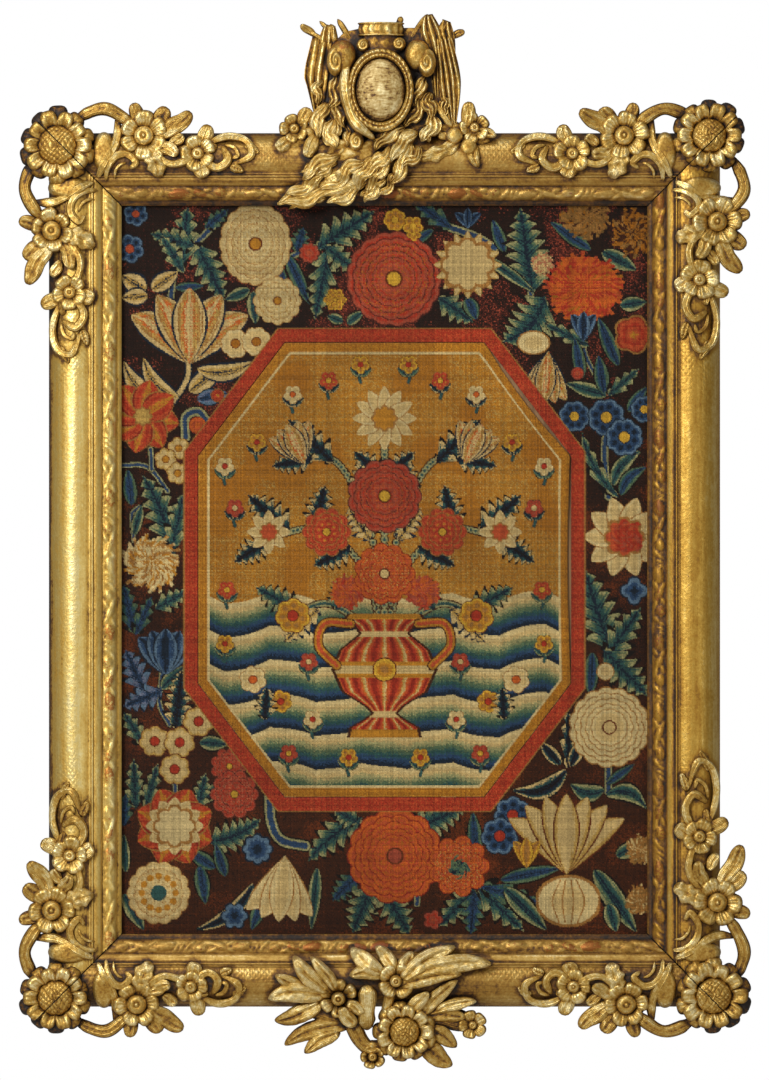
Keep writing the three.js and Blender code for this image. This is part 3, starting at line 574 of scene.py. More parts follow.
# Leaves: base and tip in millimetres across and down
borderLeaves = table("base tip width lobes bands bend", [
    ((75, 38), (102, 93), 30, 4),
    ((60, 58), (66, 2), 30, 3),
    ((72, 40), (30, 28), 24, 3),
    ((62, 66), (40, 30), 18, 2),
    ((84, 22), (106, 4), 16, 2, "blue"),
    ((165, 48), (188, 98), 13, 0, "blue"),
    ((165, 84), (156, 54), 8, 0, "blue"),
    ((176, 46), (182, 22), 20, 2, "blue"),
    ((196, 42), (252, 6), 34, 4),
    ((208, 42), (194, 112), 28, 4),
    ((204, 40), (236, 66), 22, 3),
    ((128, 84), (104, 94), 12, 0, "teal"),
    ((132, 86), (134, 118), 14, 0, "teal"),
    ((222, 116), (206, 110), 10, 0, "teal"),
    ((226, 118), (242, 106), 10, 0, "teal"),
    ((330, 22), (294, -4), 20, 2, "blue"),
    ((312, 24), (280, 44), 10, 0, "blue"),
    ((384, 46), (372, 14), 12, 0, "blue"),
    ((318, 92), (352, 116), 26, 3),
    ((346, 92), (356, 114), 14, 0, "blue"),
    ((412, 86), (400, 4), 42, 6),
    ((366, 52), (414, 86), 11, 0),
    ((424, 92), (384, 136), 46, 5, "teal", -8),
    ((470, 44), (430, 16), 13, 0, "blue"),
    ((482, 46), (516, 64), 17, 0, "teal"),
    ((500, 100), (526, 96), 14, 0),
    ((468, 140), (424, 118), 16, 2),
    ((498, 160), (478, 112), 14, 0, "blue"),
    ((462, 172), (454, 132), 12, 0, "blue"),
    ((486, 190), (446, 178), 14, 0),
    ((484, 188), (478, 150), 14, 0, "blue"),
    ((488, 190), (518, 164), 16, 2),
    ((508, 206), (526, 182), 12, 0, "blue"),
    ((498, 292), (462, 228), 15, 2, "teal", -6),
    ((492, 280), (520, 246), 14, 0, "teal", -5),
    ((500, 290), (526, 262), 13, 0, "blue", -5),
    ((490, 446), (464, 366), 40, 5),
    ((488, 450), (520, 404), 28, 3),
    ((484, 446), (526, 490), 34, 4),
    ((472, 448), (470, 492), 14, 0, "blue"),
    ((24, 84), (0, 70), 18, 0, "cream"),
    ((26, 90), (0, 92), 15, 0, "cream"),
    ((30, 84), (56, 66), 16, 0, "cream"),
    ((54, 82), (82, 80), 9, 0, "blue"),
    ((52, 196), (2, 156), 20, 0, "cream", -12),
    ((56, 192), (22, 152), 15, 0, "cream", -8),
    ((68, 186), (100, 162), 18, 0, "cream"),
    ((76, 164), (132, 156), 16, 0, "cream", 7),
    ((52, 350), (22, 272), 34, 5, "teal", 4),
    ((50, 346), (62, 288), 22, 3),
    ((12, 330), (20, 300), 10, 0),
    ((10, 300), (6, 264), 13, 0, "blue"),
    ((34, 404), (66, 386), 20, 3),
    ((12, 428), (2, 380), 20, 3, "blue"),
    ((14, 430), (30, 392), 16, 2, "blue"),
    ((22, 486), (4, 446), 26, 3, "lilac"),
    ((40, 486), (2, 502), 24, 3, "lilac"),
    ((40, 484), (62, 462), 14, 0, "teal"),
    ((54, 524), (60, 466), 26, 5, "navy"),
    ((22, 540), (2, 508), 18, 2, "teal"),
    ((78, 538), (106, 540), 14, 0, "teal"),
    ((14, 604), (12, 556), 20, 3),
    ((24, 604), (36, 560), 16, 2),
    ((2, 622), (4, 590), 16, 2, "blue"),
    ((80, 598), (104, 576), 13, 0),
    ((76, 606), (84, 570), 18, 3),
    ((88, 638), (138, 616), 30, 5, "teal", 4),
    ((94, 664), (66, 646), 14, 0, "blue"),
    ((104, 672), (94, 640), 12, 0, "blue"),
    ((78, 662), (84, 700), 14, 0, "blue"),
    ((4, 668), (2, 630), 10, 0),
    ((2, 690), (22, 726), 15, 0, "teal"),
    ((132, 680), (74, 726), 14, 0, "navy", -9),
    ((142, 694), (130, 726), 13, 0, "blue"),
    ((196, 664), (190, 726), 12, 0, "teal"),
    ((240, 614), (188, 656), 30, 4, "teal", 4),
    ((236, 618), (214, 606), 22, 3),
    ((236, 672), (212, 696), 24, 3, "blue"),
    ((250, 682), (232, 728), 32, 4),
    ((262, 684), (288, 730), 32, 4),
    ((286, 628), (344, 602), 34, 6),
    ((356, 654), (352, 608), 14, 0, "blue"),
    ((354, 686), (318, 722), 26, 3),
    ((354, 688), (350, 730), 24, 3, "blue"),
    ((358, 684), (402, 726), 26, 3),
    ((360, 682), (420, 700), 22, 2, "blue"),
    ((380, 676), (440, 664), 14, 0, "blue"),
    ((448, 564), (448, 506), 16, 2, "navy"),
    ((446, 566), (392, 586), 18, 0, "navy", -10),
    ((450, 562), (464, 532), 13, 0, "navy"),
    ((440, 560), (420, 538), 13, 0, "navy"),
    ((484, 586), (450, 580), 17, 0, "teal", -6),
    ((486, 590), (526, 604), 17, 0, "teal", -9),
    ((486, 580), (514, 560), 9, 0, "blue"),
    ((474, 666), (516, 728), 20, 0),
    ((384, 684), (426, 726), 18, 0),
    ((488, 700), (496, 728), 15, 0),
    ((496, 652), (520, 640), 14, 0),
])
borderStems = table("width points wool", [
    (7, [(96, 16), (74, 38), (54, 62), (49, 92)]),
    (8, [(330, 22), (354, 30), (374, 42)]),
    (6, [(150, 62), (180, 46), (210, 36), (238, 18)]),
    (6, [(410, 88), (408, 50), (402, 18)]),
    (7, [(66, 150), (66, 172), (52, 196)], "cream"),
    (5, [(0, 260), (26, 262), (46, 286)]),
    (5, [(29, 244), (30, 264)]),
    (7, [(486, 226), (484, 250), (488, 292)]),
    (4, [(20, 300), (10, 310), (12, 336)]),
    (5, [(40, 470), (38, 500), (48, 520)]),
    (10, [(148, 592), (150, 618), (160, 636), (184, 642)]),
    (5, [(53, 578), (55, 600)]),
    (7, [(488, 556), (488, 588)]),
    (5, [(462, 132), (466, 152), (484, 186)]),
    (6, [(334, 650), (300, 664), (296, 700)]),
])


def paintBorder(field):
    ground(field)
    for row in borderStems:
        edge = "sage" if row.get("wool", "teal") == "teal" else "navy"
        bands = [(1.3, "black"), (1.0, edge), (0.6, row.get("wool", "blue"))]
        stitchedStem(field, row["points"], row["width"], bands)
    for row in borderLeaves:
        bands, bend = row.get("bands", "teal"), row.get("bend", 0)
        if row["lobes"]:
            featherLeaf(field, row["base"], row["tip"], row["width"], bands, row["lobes"], bend)
        else:
            blade(field, row["base"], row["tip"], row["width"], leafBands[bands], bend)

    # top left
    smallFlower(field, (14, 8), 12, "blue", "coral")
    smallFlower(field, (8, 43), 14, "blue", "coral")
    tulip(field, (68, 158), 76, 50)
    layeredFlower(field, (134, 38), 36, "ivory", 4, 16, "gold", stretch=(0.95, 1.1), mottle=("tan", "straw"))
    layeredFlower(field, (156, 95), 23, "ivory", 3, 12, "gold", mottle=("straw",))
    disc(field, (188, 47), 9, petalBands["rose"], lobes=9, depth=0.1)
    layeredFlower(field, (214, 94), 11, "gold", 2, 6)
    for across, down in ((114, 138), (135, 136)):
        smallFlower(field, (across, down), 14, "cream", "ochre", petals=8)

    # top
    layeredFlower(field, (273, 73), 45, "rose", 5, 17, mottle=("orange", "rose", "ochre"))
    for place, radius, petals in (((274, 14), 11, 7), ((292, 20), 10, 5), ((293, 28), 7, 5)):
        smallFlower(field, place, radius, "gold", "yellow", petals)
    tulip(field, (347, 22), 20, 40, bands="blue", petals=3)
    starFlower(field, (347, 59), 34, "yellow", petals=16, heart=("cream", 0.66), width=0.36)

    # top right
    rays(field, (422, 58), 13, ["pink", "cream", "pink"])
    rays(field, (466, 12), 25, ["ochre", "fawn", "tan", "bark"], stretch=(1.1, 0.9))
    rays(field, (513, 27), 27, ["fawn", "ochre", "bark", "tan"])
    orangeWools = ["coral", "orange", "red", "orange", "ochre"]
    rays(field, (464, 82), 43, orangeWools, stretch=(1, 0.86), count=70, ragged=0.2)
    tulip(field, (463, 136), 30, 24, bands="blue", petals=3)
    disc(field, (513, 129), 16, petalBands["red"], lobes=5, depth=0.1)
    disc(field, (413, 137), 15, petalBands["cream"], stretch=(1.0, 0.72))
    tulip(field, (428, 146), 52, 26, heading=96.0, width=0.36)
    for place, radius in (((454, 211), 15), ((486, 212), 18), ((504, 232), 18), ((524, 204), 13)):
        smallFlower(field, place, radius, "blue", "yellow", petals=8)
    disc(field, (457, 168), 6, petalBands["rose"])

    # left side
    starFlower(field, (21, 211), 37, "red", heart=("straw", 0.2), turn=0.2, width=0.72)
    blade(field, (76, 194), (106, 188), 15, leafBands["lilac"])
    disc(field, (96, 190), 6, petalBands["red"])
    hook = [(64, 232), (64, 212), (76, 206), (84, 214)]
    stitchedStem(field, hook, 9, [(1.2, "black"), (1, "sage"), (0.5, "blue")])
    disc(field, (76, 220), 8, petalBands["orange"])
    for place in ((57, 243), (44, 254), (56, 268)):
        smallFlower(field, place, 11, "yellow", "gold")
    rays(field, (30, 358), 33, ["cream", "gold", "pale", "tan", "cream"], count=54, ragged=0.35)
    tulip(field, (44, 470), 46, 36, bands="blue", width=0.5)

    # right side
    starFlower(field, (504, 332), 41, "cream", petals=10, heart=("coral", 0.4))
    rays(field, (506, 332), 20, ["coral", "red", "rose"], count=22, ragged=0.5)
    disc(field, (514, 386), 11, petalBands["blue"], lobes=4, depth=0.2)
    disc(field, (485, 467), 8, petalBands["cream"])
    layeredFlower(field, (489, 523), 38, "cream", 5, 15, "cream")

    # bottom left
    for place in ((33, 537), (58, 538), (77, 517), (53, 565)):
        smallFlower(field, place, 15, "yellow", "red", petals=7)
    layeredFlower(field, (108, 562), 18, "rose", 3, 9, mottle=("pink", "coral"))
    layeredFlower(field, (113, 590), 23, "rose", 3, 10, mottle=("pink", "coral"))
    starFlower(field, (53, 622), 40, "red", turn=0.39, width=0.8)
    starFlower(field, (53, 622), 29, "cream", petals=12, heart=("pale", 0.6), width=0.6)
    disc(field, (136, 645), 13, petalBands["blue"], lobes=8, depth=0.1)
    layeredFlower(field, (37, 689), 30, "ivory", 3, 14, mottle=("tan",))
    petalRing(field, (37, 689), 17, 12, 3.4, [(1.0, "gold")])
    disc(field, (37, 689), 8, [(1.0, "teal")])
    tulip(field, (164, 652), 66, 30, bands="cream", heading=96.0, width=0.34)
    disc(field, (113, 712), 11, petalBands["blue"], lobes=6, depth=0.15)

    # bottom
    layeredFlower(field, (274, 652), 45, "orange", 5, 14, "rose", mottle=("red", "ochre", "coral"))
    layeredFlower(field, (338, 662), 29, "orange", 3, 9, "teal", mottle=("rose", "straw"))
    rays(field, (338, 664), 14, ["teal", "green", "navy"], count=18, ragged=0.6)
    disc(field, (312, 716), 8, petalBands["rose"], lobes=5, depth=0.2)
    for place in ((392, 611), (379, 632)):
        smallFlower(field, place, 18, "blue", "red", petals=7)

    # bottom right
    tulip(field, (446, 670), 80, 46, bands="yellow", petals=7, width=0.3)
    tulip(field, (406, 664), 30, 26, bands="gold", petals=3)
    disc(field, (448, 697), 30, petalBands["cream"], stretch=(1.0, 0.78))
    for off in (-16, -6, 5, 16):
        rib = [(448 + off * 0.5, 676), (448 + off, 697), (448 + off * 0.6, 718)]
        stitchedStem(field, rib, 1.6, [(1.0, "tan")])
    for place in ((521, 646), (520, 696)):
        rays(field, place, 17, ["cream", "tan", "fawn"])


# The octagon let into the border, with the mm that each corner takes off its sides
octagonCut = {"across": 87, "up": 114, "clear": 0.3}


# How deep a place lies inside the octagon's outline, in mm, with the outward normal of its nearest side
def octagonDepth(x, z):
    halfX, halfZ = medallionHalf + octagonCut["clear"]
    slant = np.array([octagonCut["up"], octagonCut["across"]])
    slant = slant / np.hypot(*slant)
    over, above = np.abs(x) - halfX, np.abs(z) - halfZ
    depths = -np.stack([over, above, (over + octagonCut["across"]) * slant[0] + above * slant[1]])
    nearest = depths.argmin(0)
    normals = np.array([[1, 0], [0, 1], slant])[nearest] * np.stack([np.sign(x), np.sign(z)], -1)
    return depths.min(0), normals


# A flowering urn over flame-stitch waves: places are mm across and down from the octagon's middle. Those
# with across above nought are laid to either side.
medallionStems = [
    [(4, 60), (20, 0), (64, -40), (112, -34)],
    [(4, 60), (14, -40), (44, -104), (78, -116)],
    [(10, 62), (56, 34), (92, 46)],
]
medallionLeaves = table("base tip width bands", [
    ((34, -24), (70, -4), 26, "navy"),
    ((70, -40), (60, -84), 26, "navy"),
    ((96, -38), (136, -74), 30, "navy"),
    ((116, -30), (150, -8), 24, "navy"),
    ((26, -70), (20, -112), 22, "navy"),
    ((52, -108), (96, -150), 26, "navy"),
    ((72, -112), (112, -104), 22, "navy"),
    ((48, 40), (44, 8), 18, "teal"),
    ((84, 42), (128, 18), 24, "teal"),
    ((66, 38), (100, 72), 20, "cream"),
    ((14, -30), (36, -62), 20, "cream"),
])
waveRows = {
    "pitch": 34, "wools": ["pale", "cream", "sage", "green", "teal", "blue", "navy"],
    "zigzag": 14, "half": 46, "ripple": 4,
}


def paintGround(field, a, d):
    fleck, colour = field["fleck"], field["colour"]
    patches = softNoise(fleck.shape, 44, 9)
    colour[:] = wool["ochre"] * (1 - patches[..., None]) + wool["gold"] * patches[..., None]
    colour[(fleck > 0.82) & (patches > 0.4)] = wool["straw"]
    colour[fleck < 0.1] = wool["tan"]
    # the waves are zigzags with a sine ripple, each row shaded from cream to navy on its way down
    names = waveRows["wools"]
    zigzag = np.abs((a / waveRows["half"] + 0.5) % 2 - 1)
    wave = waveRows["zigzag"] * zigzag + waveRows["ripple"] * np.sin(a / 17)
    level = (d + wave - waveRows["pitch"]) / waveRows["pitch"]
    shade = ((level % 1) * len(names) + (fleck - 0.5) * 0.9).clip(0, len(names) - 0.01).astype(int)
    for i, name in enumerate(names):
        colour[(level > 0) & (shade == i)] = wool[name]


def paintMedallion(field):
    middle = sightX, (sightTop - sightBottom) / 2
    paintGround(field, *np.meshgrid(field["across"] - middle[0], field["down"] - middle[1]))

    def place(x, y):
        return middle[0] + x, middle[1] + y

    stemWools = [(1.4, "bark"), (1, "sage"), (0.5, "teal")]
    for hand in (-1, 1):
        for stem in medallionStems:
            stitchedStem(field, [place(hand * x, y) for x, y in stem], 6, stemWools)
        for row in medallionLeaves:
            base, tip = (place(hand * x, y) for x, y in (row["base"], row["tip"]))
            featherLeaf(field, base, tip, row["width"], row["bands"])
        layeredFlower(field, place(hand * 58, -38), 23, "red", 3, 10)
        starFlower(field, place(hand * 116, -38), 22, "cream", heart=("coral", 0.34))
        tulip(field, place(hand * 80, -106), 44, 30, heading=-90 + hand * 24)
        smallFlower(field, place(hand * 92, 46), 17, "gold", "red", petals=7)
        rays(field, place(hand * 38, 22), 19, ["coral", "orange", "rose", "red"], count=40, ragged=0.25)
        smallFlower(field, place(hand * 132, 110), 13, "cream", "orange")
        smallFlower(field, place(hand * 104, 132), 11, "gold", "red")
        featherLeaf(field, place(hand * 120, 150), place(hand * 118, 118), 20, "navy", lobes=3)
    stitchedStem(field, [place(0, y) for y in (64, -60, -150)], 7, [(1.3, "bark"), *stemWools[1:]])
    for y, reach in ((-40, 34), (-92, 30)):
        for hand in (-1, 1):
            featherLeaf(field, place(0, y), place(hand * reach, y - 26), 22, "navy", lobes=3)
    layeredFlower(field, place(0, -74), 35, "rose", 4, 13, mottle=("orange", "coral"))
    starFlower(field, place(0, -152), 32, "cream", petals=12, heart=("gold", 0.32), width=0.42)
    layeredFlower(field, place(0, 4), 29, "orange", 4, 11, "cream", mottle=("coral", "straw"))
    for row in sprigs:
        for hand in (-1, 1):
            sprig(field, place(hand * row["x"], row["y"]), hand, row)
    urn(field, place)


def sprig(field, at, hand, row):
    stem = [at, np.add(at, [hand * 2, 9]), np.add(at, [0, 18])]
    stitchedStem(field, stem, 3, [(1.2, "bark"), (1, "teal")])
    for turn, reach in ((-2.6, 13), (-0.6, 13), (-1.6, 9)):
        tip = np.add(at, [hand * reach * np.cos(turn), 10 + reach * np.sin(turn)])
        blade(field, np.add(at, [0, 12]), tip, 6, leafBands[row["leaves"]])
    smallFlower(field, at, 9, row["petals"], row["heart"], petals=5)


# Sprigs to either side of the octagon's middle, with their wools
sprigs = table("x y leaves petals heart", [
    (56, -190, "navy", "red", "yellow"),
    (92, -176, "navy", "cream", "orange"),
    (128, -128, "navy", "gold", "red"),
    (150, -62, "navy", "rose", "cream"),
    (160, -104, "teal", "cream", "red"),
    (24, -206, "teal", "gold", "red"),
    (158, 20, "teal", "red", "yellow"),
    (160, 74, "teal", "gold", "red"),
    (76, 92, "teal", "rose", "cream"),
    (72, 150, "teal", "cream", "red"),
    (36, 188, "teal", "gold", "red"),
    (96, 184, "teal", "rose", "yellow"),
])


# A two-handled urn in coral and cream: its gadroons run from brick to cream and back, seven times across
urnShape = {
    "top": 44, "bottom": 168, "middle": 106, "reach": 68, "edge": 1.6, "gadroons": 7,
    "profile": [  # [down, half-width]
        (44, 36), (50, 40), (56, 30), (64, 24), (80, 44), (100, 52), (122, 42), (136, 20), (144, 12),
        (150, 20), (158, 34), (168, 36)],
    "wools": ["brick", "red", "coral", "orange", "straw", "cream", "orange", "coral", "red", "brick"],
    "bands": [  # [from, to, wool]
        (44, 50, "gold"), (62, 67, "cream"), (92, 96, "gold"), (96, 104, "cream"), (104, 108, "gold"),
        (142, 148, "cream"), (160, 168, "gold")],
    "handle": [(34, 54), (60, 54), (66, 76), (48, 96)],
}


def urn(field, place):
    a, d, colour, fleck = window(field, place(0, urnShape["middle"]), urnShape["reach"])
    down = d + urnShape["middle"]
    half = np.interp(down, *zip(*urnShape["profile"]))
    level = (down > urnShape["top"]) & (down < urnShape["bottom"])
    inside = level & (np.abs(a) < half)
    share = np.clip(a / np.maximum(half, 1), -1, 1)
    names = urnShape["wools"]
    gadroon = (np.arcsin(share) / np.pi + 0.5) * urnShape["gadroons"]
    pick = (((gadroon % 1) * len(names)) + (fleck - 0.5)).clip(0, len(names) - 1).astype(int)
    for i, name in enumerate(names):
        colour[inside & (pick == i)] = wool[name]
    for low, high, name in urnShape["bands"]:
        colour[inside & (down > low) & (down < high)] = wool[name]
    colour[level & (np.abs(np.abs(a) - half) < urnShape["edge"])] = wool["bark"]
    for hand in (-1, 1):
        handle = [place(hand * x, y) for x, y in urnShape["handle"]]
        stitchedStem(field, handle, 8, [(1.3, "bark"), (1, "gold"), (0.5, "coral")])
    petalRing(field, place(0, 100), 0.1, 1, 11, petalBands["gold"])


# Where the seam round the octagon has opened its edge is drawn in: at the middle of its right side, and at
# its upper right corner cut. Places and reaches are in mm from its middle.
drawnIn = {
    "right": {"z": 10, "half": 118, "deep": 16, "by": 3.0},
    "upper": {"x": 144, "half": 40, "deep": 16, "above": 60, "by": (3.2, 2.2)},
}


def openedSeam(x, z, depth):
    right, upper = drawnIn["right"], drawnIn["upper"]
    atRight = np.clip(1 - ((z - right["z"]) / right["half"]) ** 2, 0, 1)
    atRight *= np.clip(1 - (medallionHalf[0] - x) / right["deep"], 0, 1)
    atUpper = np.clip(1 - ((x - upper["x"]) / upper["half"]) ** 2, 0, 1)
    atUpper = atUpper * np.clip(1 - depth / upper["deep"], 0, 1) * (z > upper["above"])
    return x - right["by"] * atRight - upper["by"][0] * atUpper, z - upper["by"][1] * atUpper


# The wools as stitched: flecked, streaked a little along rows and columns, worn in patches and aged
def agedStitches(field):
    rng = np.random.default_rng(stitching["seed"] + 1)
    rows, columns = field["fleck"].shape
    shade = 1 + stitching["fleck"] * (rng.random((rows, columns)) - 0.5) * 2
    shade *= 1 + stitching["streak"] * (np.repeat(rng.random(columns // 2), 2)[None] - 0.5) * 2
    shade *= 1 + stitching["streak"] * (np.repeat(rng.random(rows // 2), 2)[:, None] - 0.5) * 2
    worn = 1 + 0.3 * (softNoise((rows, columns), 60, 11) - 0.5)
    return field["colour"] * (shade * worn)[..., None] * stitching["aged"]


# A sheet over the squares of canvas that keep picks, with a skirt round its edge. side is 1 inside the
# octagon and -1 outside, so that its edge meets the outline.
def clothPiece(name, field, keep, side, material):
    rows, columns = np.nonzero(keep[::2, ::2])
    lineCount = len(field["acrossLines"])
    first = rows * lineCount + columns
    quads = np.stack([first, first + 1, first + lineCount + 1, first + lineCount], 1)
    a, d = np.meshgrid(field["acrossLines"], field["downLines"])
    x, z = a.ravel() - sightX, sightTop - d.ravel() - sightMiddle
    count = len(x)
    edges = np.stack([quads, np.roll(quads, -1, 1)], -1).reshape(-1, 2)
    key, back = edges[:, 0] * count + edges[:, 1], edges[:, 1] * count + edges[:, 0]
    rim = edges[~np.isin(key, back)]
    depth, normal = octagonDepth(x, z)
    onRim = np.zeros(count, bool)
    onRim[rim.ravel()] = True
    seam = onRim & (np.abs(depth) < 2.5 * stitching["pitch"])
    move = np.where(seam, depth - side * stitching["seam"], 0)[:, None] * normal
    x, z = x + move[:, 0], z + move[:, 1]
    if side > 0:
        x, z = openedSeam(x, z, depth)
    h = clothFront - 0.1 + stitching["ripple"] * (softNoise(a.shape, 26, 5).ravel() - 0.5) * 2
    points = np.vstack([np.stack([x, h - thick, z + sightMiddle], 1) for thick in (0, stitching["thick"])])
    skirt = np.stack([rim[:, 1], rim[:, 0], rim[:, 0] + count, rim[:, 1] + count], 1)
    used, faces = np.unique(np.vstack([quads, skirt]), return_inverse=True)
    faces = faces.reshape(-1, 4)
    shape = {"points": points[used], "quads": faces, "fans": np.zeros((0, 3), int)}
    piece = meshObject(name, shape, material)
    stitches = agedStitches(field)
    perCorner = np.ones((len(faces), 4, 4))
    for i, (down, across) in enumerate(((0, 0), (0, 1), (1, 1), (1, 0))):
        perCorner[: len(quads), i, :3] = stitches[2 * rows + down, 2 * columns + across]
    perCorner[len(quads) :, :, :3] = wool["bark"]
    layer = piece.data.color_attributes.new("stitches", "FLOAT_COLOR", "CORNER")
    layer.data.foreach_set("color", perCorner.ravel().astype(np.float32))
    return piece


# Tent stitch in wool and silk: matt, with a little sheen on the fibres, and a slanted bead for each stitch
def needleWool(name):
    made, tree = newMaterial(name)
    colour = addNode(tree, "ShaderNodeVertexColor", layer_name="stitches")
    place = addNode(tree, "ShaderNodeTexCoord").outputs["Object"]
    turned = addNode(tree, "ShaderNodeMapping", {"Vector": place, "Rotation": (0, np.pi / 4, 0)}).outputs[0]
    beads = []
    for vector, axis, turns in ((place, "X", 1), (place, "Z", 1), (turned, "X", 1.41)):
        bands = {"Vector": vector, "Scale": waveScale(stitching["pitch"]) * turns, "Distortion": 0.6}
        beads.append(addNode(tree, "ShaderNodeTexWave", bands, bands_direction=axis).outputs["Fac"])
    pair = addNode(tree, "ShaderNodeMath", {0: beads[0], 1: beads[1]}, operation="MULTIPLY")
    height = addNode(tree, "ShaderNodeMath", {0: pair, 1: beads[2]}, operation="ADD")
    fuzz = addNode(tree, "ShaderNodeTexNoise", {
        "Vector": place, "Scale": 1 / (stitching["fuzz"] * mm), "Detail": 2.0})
    rough = addNode(tree, "ShaderNodeMath", {0: fuzz, 1: 0.6, 2: height}, operation="MULTIPLY_ADD")
    bump = addNode(tree, "ShaderNodeBump", {
        "Height": rough, "Strength": stitching["bump"], "Distance": stitching["bead"] * mm})
    surface = addNode(tree, "ShaderNodeBsdfPrincipled", {
        "Base Color": colour, "Roughness": stitching["rough"], "Sheen Weight": stitching["sheen"],
        "Specular IOR Level": stitching["shine"], "Normal": bump})
    finishMaterial(tree, surface)
    return made


# Bands at the octagon's edge and their reach in mm: red and tan outside it, gold and pale inside
edgeBands = {"tan": 14.7, "red": 13.5, "gold": 9.5, "line": 11.5}


def needlework():
    woolMaterial = needleWool("tent_stitch_wool")
    field = stitchField()
    depth, _ = octagonDepth(*np.meshgrid(field["across"] - sightX, sightTop - field["down"] - sightMiddle))
    colour, fleck = field["colour"], field["fleck"]
    inside = depth >= 0
    paintBorder(field)
    redBand = (depth > -edgeBands["red"]) & ~inside
    colour[(depth > -edgeBands["tan"]) & ~inside] = wool["tan"]
    colour[redBand] = wool["red"]
    colour[redBand & (fleck > 0.7)] = wool["coral"]
    colour[redBand & (fleck < 0.12)] = wool["brick"]
    border = clothPiece("stitched_border", field, ~inside, -1, woolMaterial)
    paintMedallion(field)
    goldBand = inside & (depth < edgeBands["gold"])
    colour[inside & (depth < edgeBands["line"])] = wool["pale"]
    colour[goldBand] = wool["gold"]
    colour[goldBand & (fleck > 0.6)] = wool["ochre"]
    middle = clothPiece("stitched_medallion", field, inside, 1, woolMaterial)
    join(border, "needlepoint_border")
    join(middle, "needlepoint_medallion")

    # cut sizes are in metres: the octagon's corners, two to a rectangle, come off its area
    whole = np.array([2 * clothHalfX, sightTop - sightBottom + 2 * hiddenCloth]) * mm
    inner = 2 * (medallionHalf + octagonCut["clear"]) * mm
    innerArea = inner[0] * inner[1] - 2 * octagonCut["across"] * octagonCut["up"] * mm**2
    for piece, flat, area in ((border, whole, whole[0] * whole[1] - innerArea), (middle, inner, innerArea)):
        tuple(flat)


needlework()
print("stage: needlework")


# Carving. Heights start from a ground that follows the rail outwards: [out from the outer edge, height].
groundByOut = np.array([(-72, 29), (-54, 31), (-44, 37), (-27, 39), (-9, 32), (14, 29)], float)


def groundAt(x, z):
    out = np.maximum(np.abs(x) - outerX, np.maximum(z - outerTop, outerBottom - z))
    return np.interp(out, groundByOut[:, 0], groundByOut[:, 1])


def tube(path, halfWidth, halfDepth, section, ribs=0.0):
    # section is [across, height] round the body, in shares of the half-width and half-depth
    tangent = np.gradient(path, axis=0)
    across = np.stack([-tangent[:, 2], np.zeros(len(path)), tangent[:, 0]], 1)
    across /= np.linalg.norm(across, axis=1)[:, None]
    wide = (halfWidth[:, None] * section[..., 0])[..., None]
    high = (halfDepth[:, None] * section[..., 1])[..., None]
    return skin(path[:, None] + across[:, None] * wide + outwards * high, ribs)


# Leaves and locks: a crowned front with a groove down the midrib, slanting veins and a notched edge. widest
# is under 1 for a leaf that is broadest near its base, and curl lifts the tip.
leafRows = table("kind groove veins count notch wave furrows blunt widest curl", [
    ("leaf", 0.34, 0.09, 5, 0.12, 0.3, 0.06, 0.6, 0.8, 0.0),
    ("smooth", 0.42, 0.03, 6, 0.03, 0.5, 0.12, 0.56, 0.85, 2.0),
    ("feather", 0.3, 0.16, 3, 0.26, 0.0, 0.08, 0.45, 1.1, 0.0),
    ("lock", 0.0, 0.08, 2, 0.26, 2.2, 0.5, 0.75, 0.9, 1.0),
    ("petal", 0.26, 0.03, 1, 0.0, 0.3, 0.2, 0.36, 1.15, 2.5),
    ("curled", 0.3, 0.04, 2, 0.06, 0.8, 0.22, 0.38, 1.05, 3.0),
])
leafStyles = {row["kind"]: row for row in leafRows}


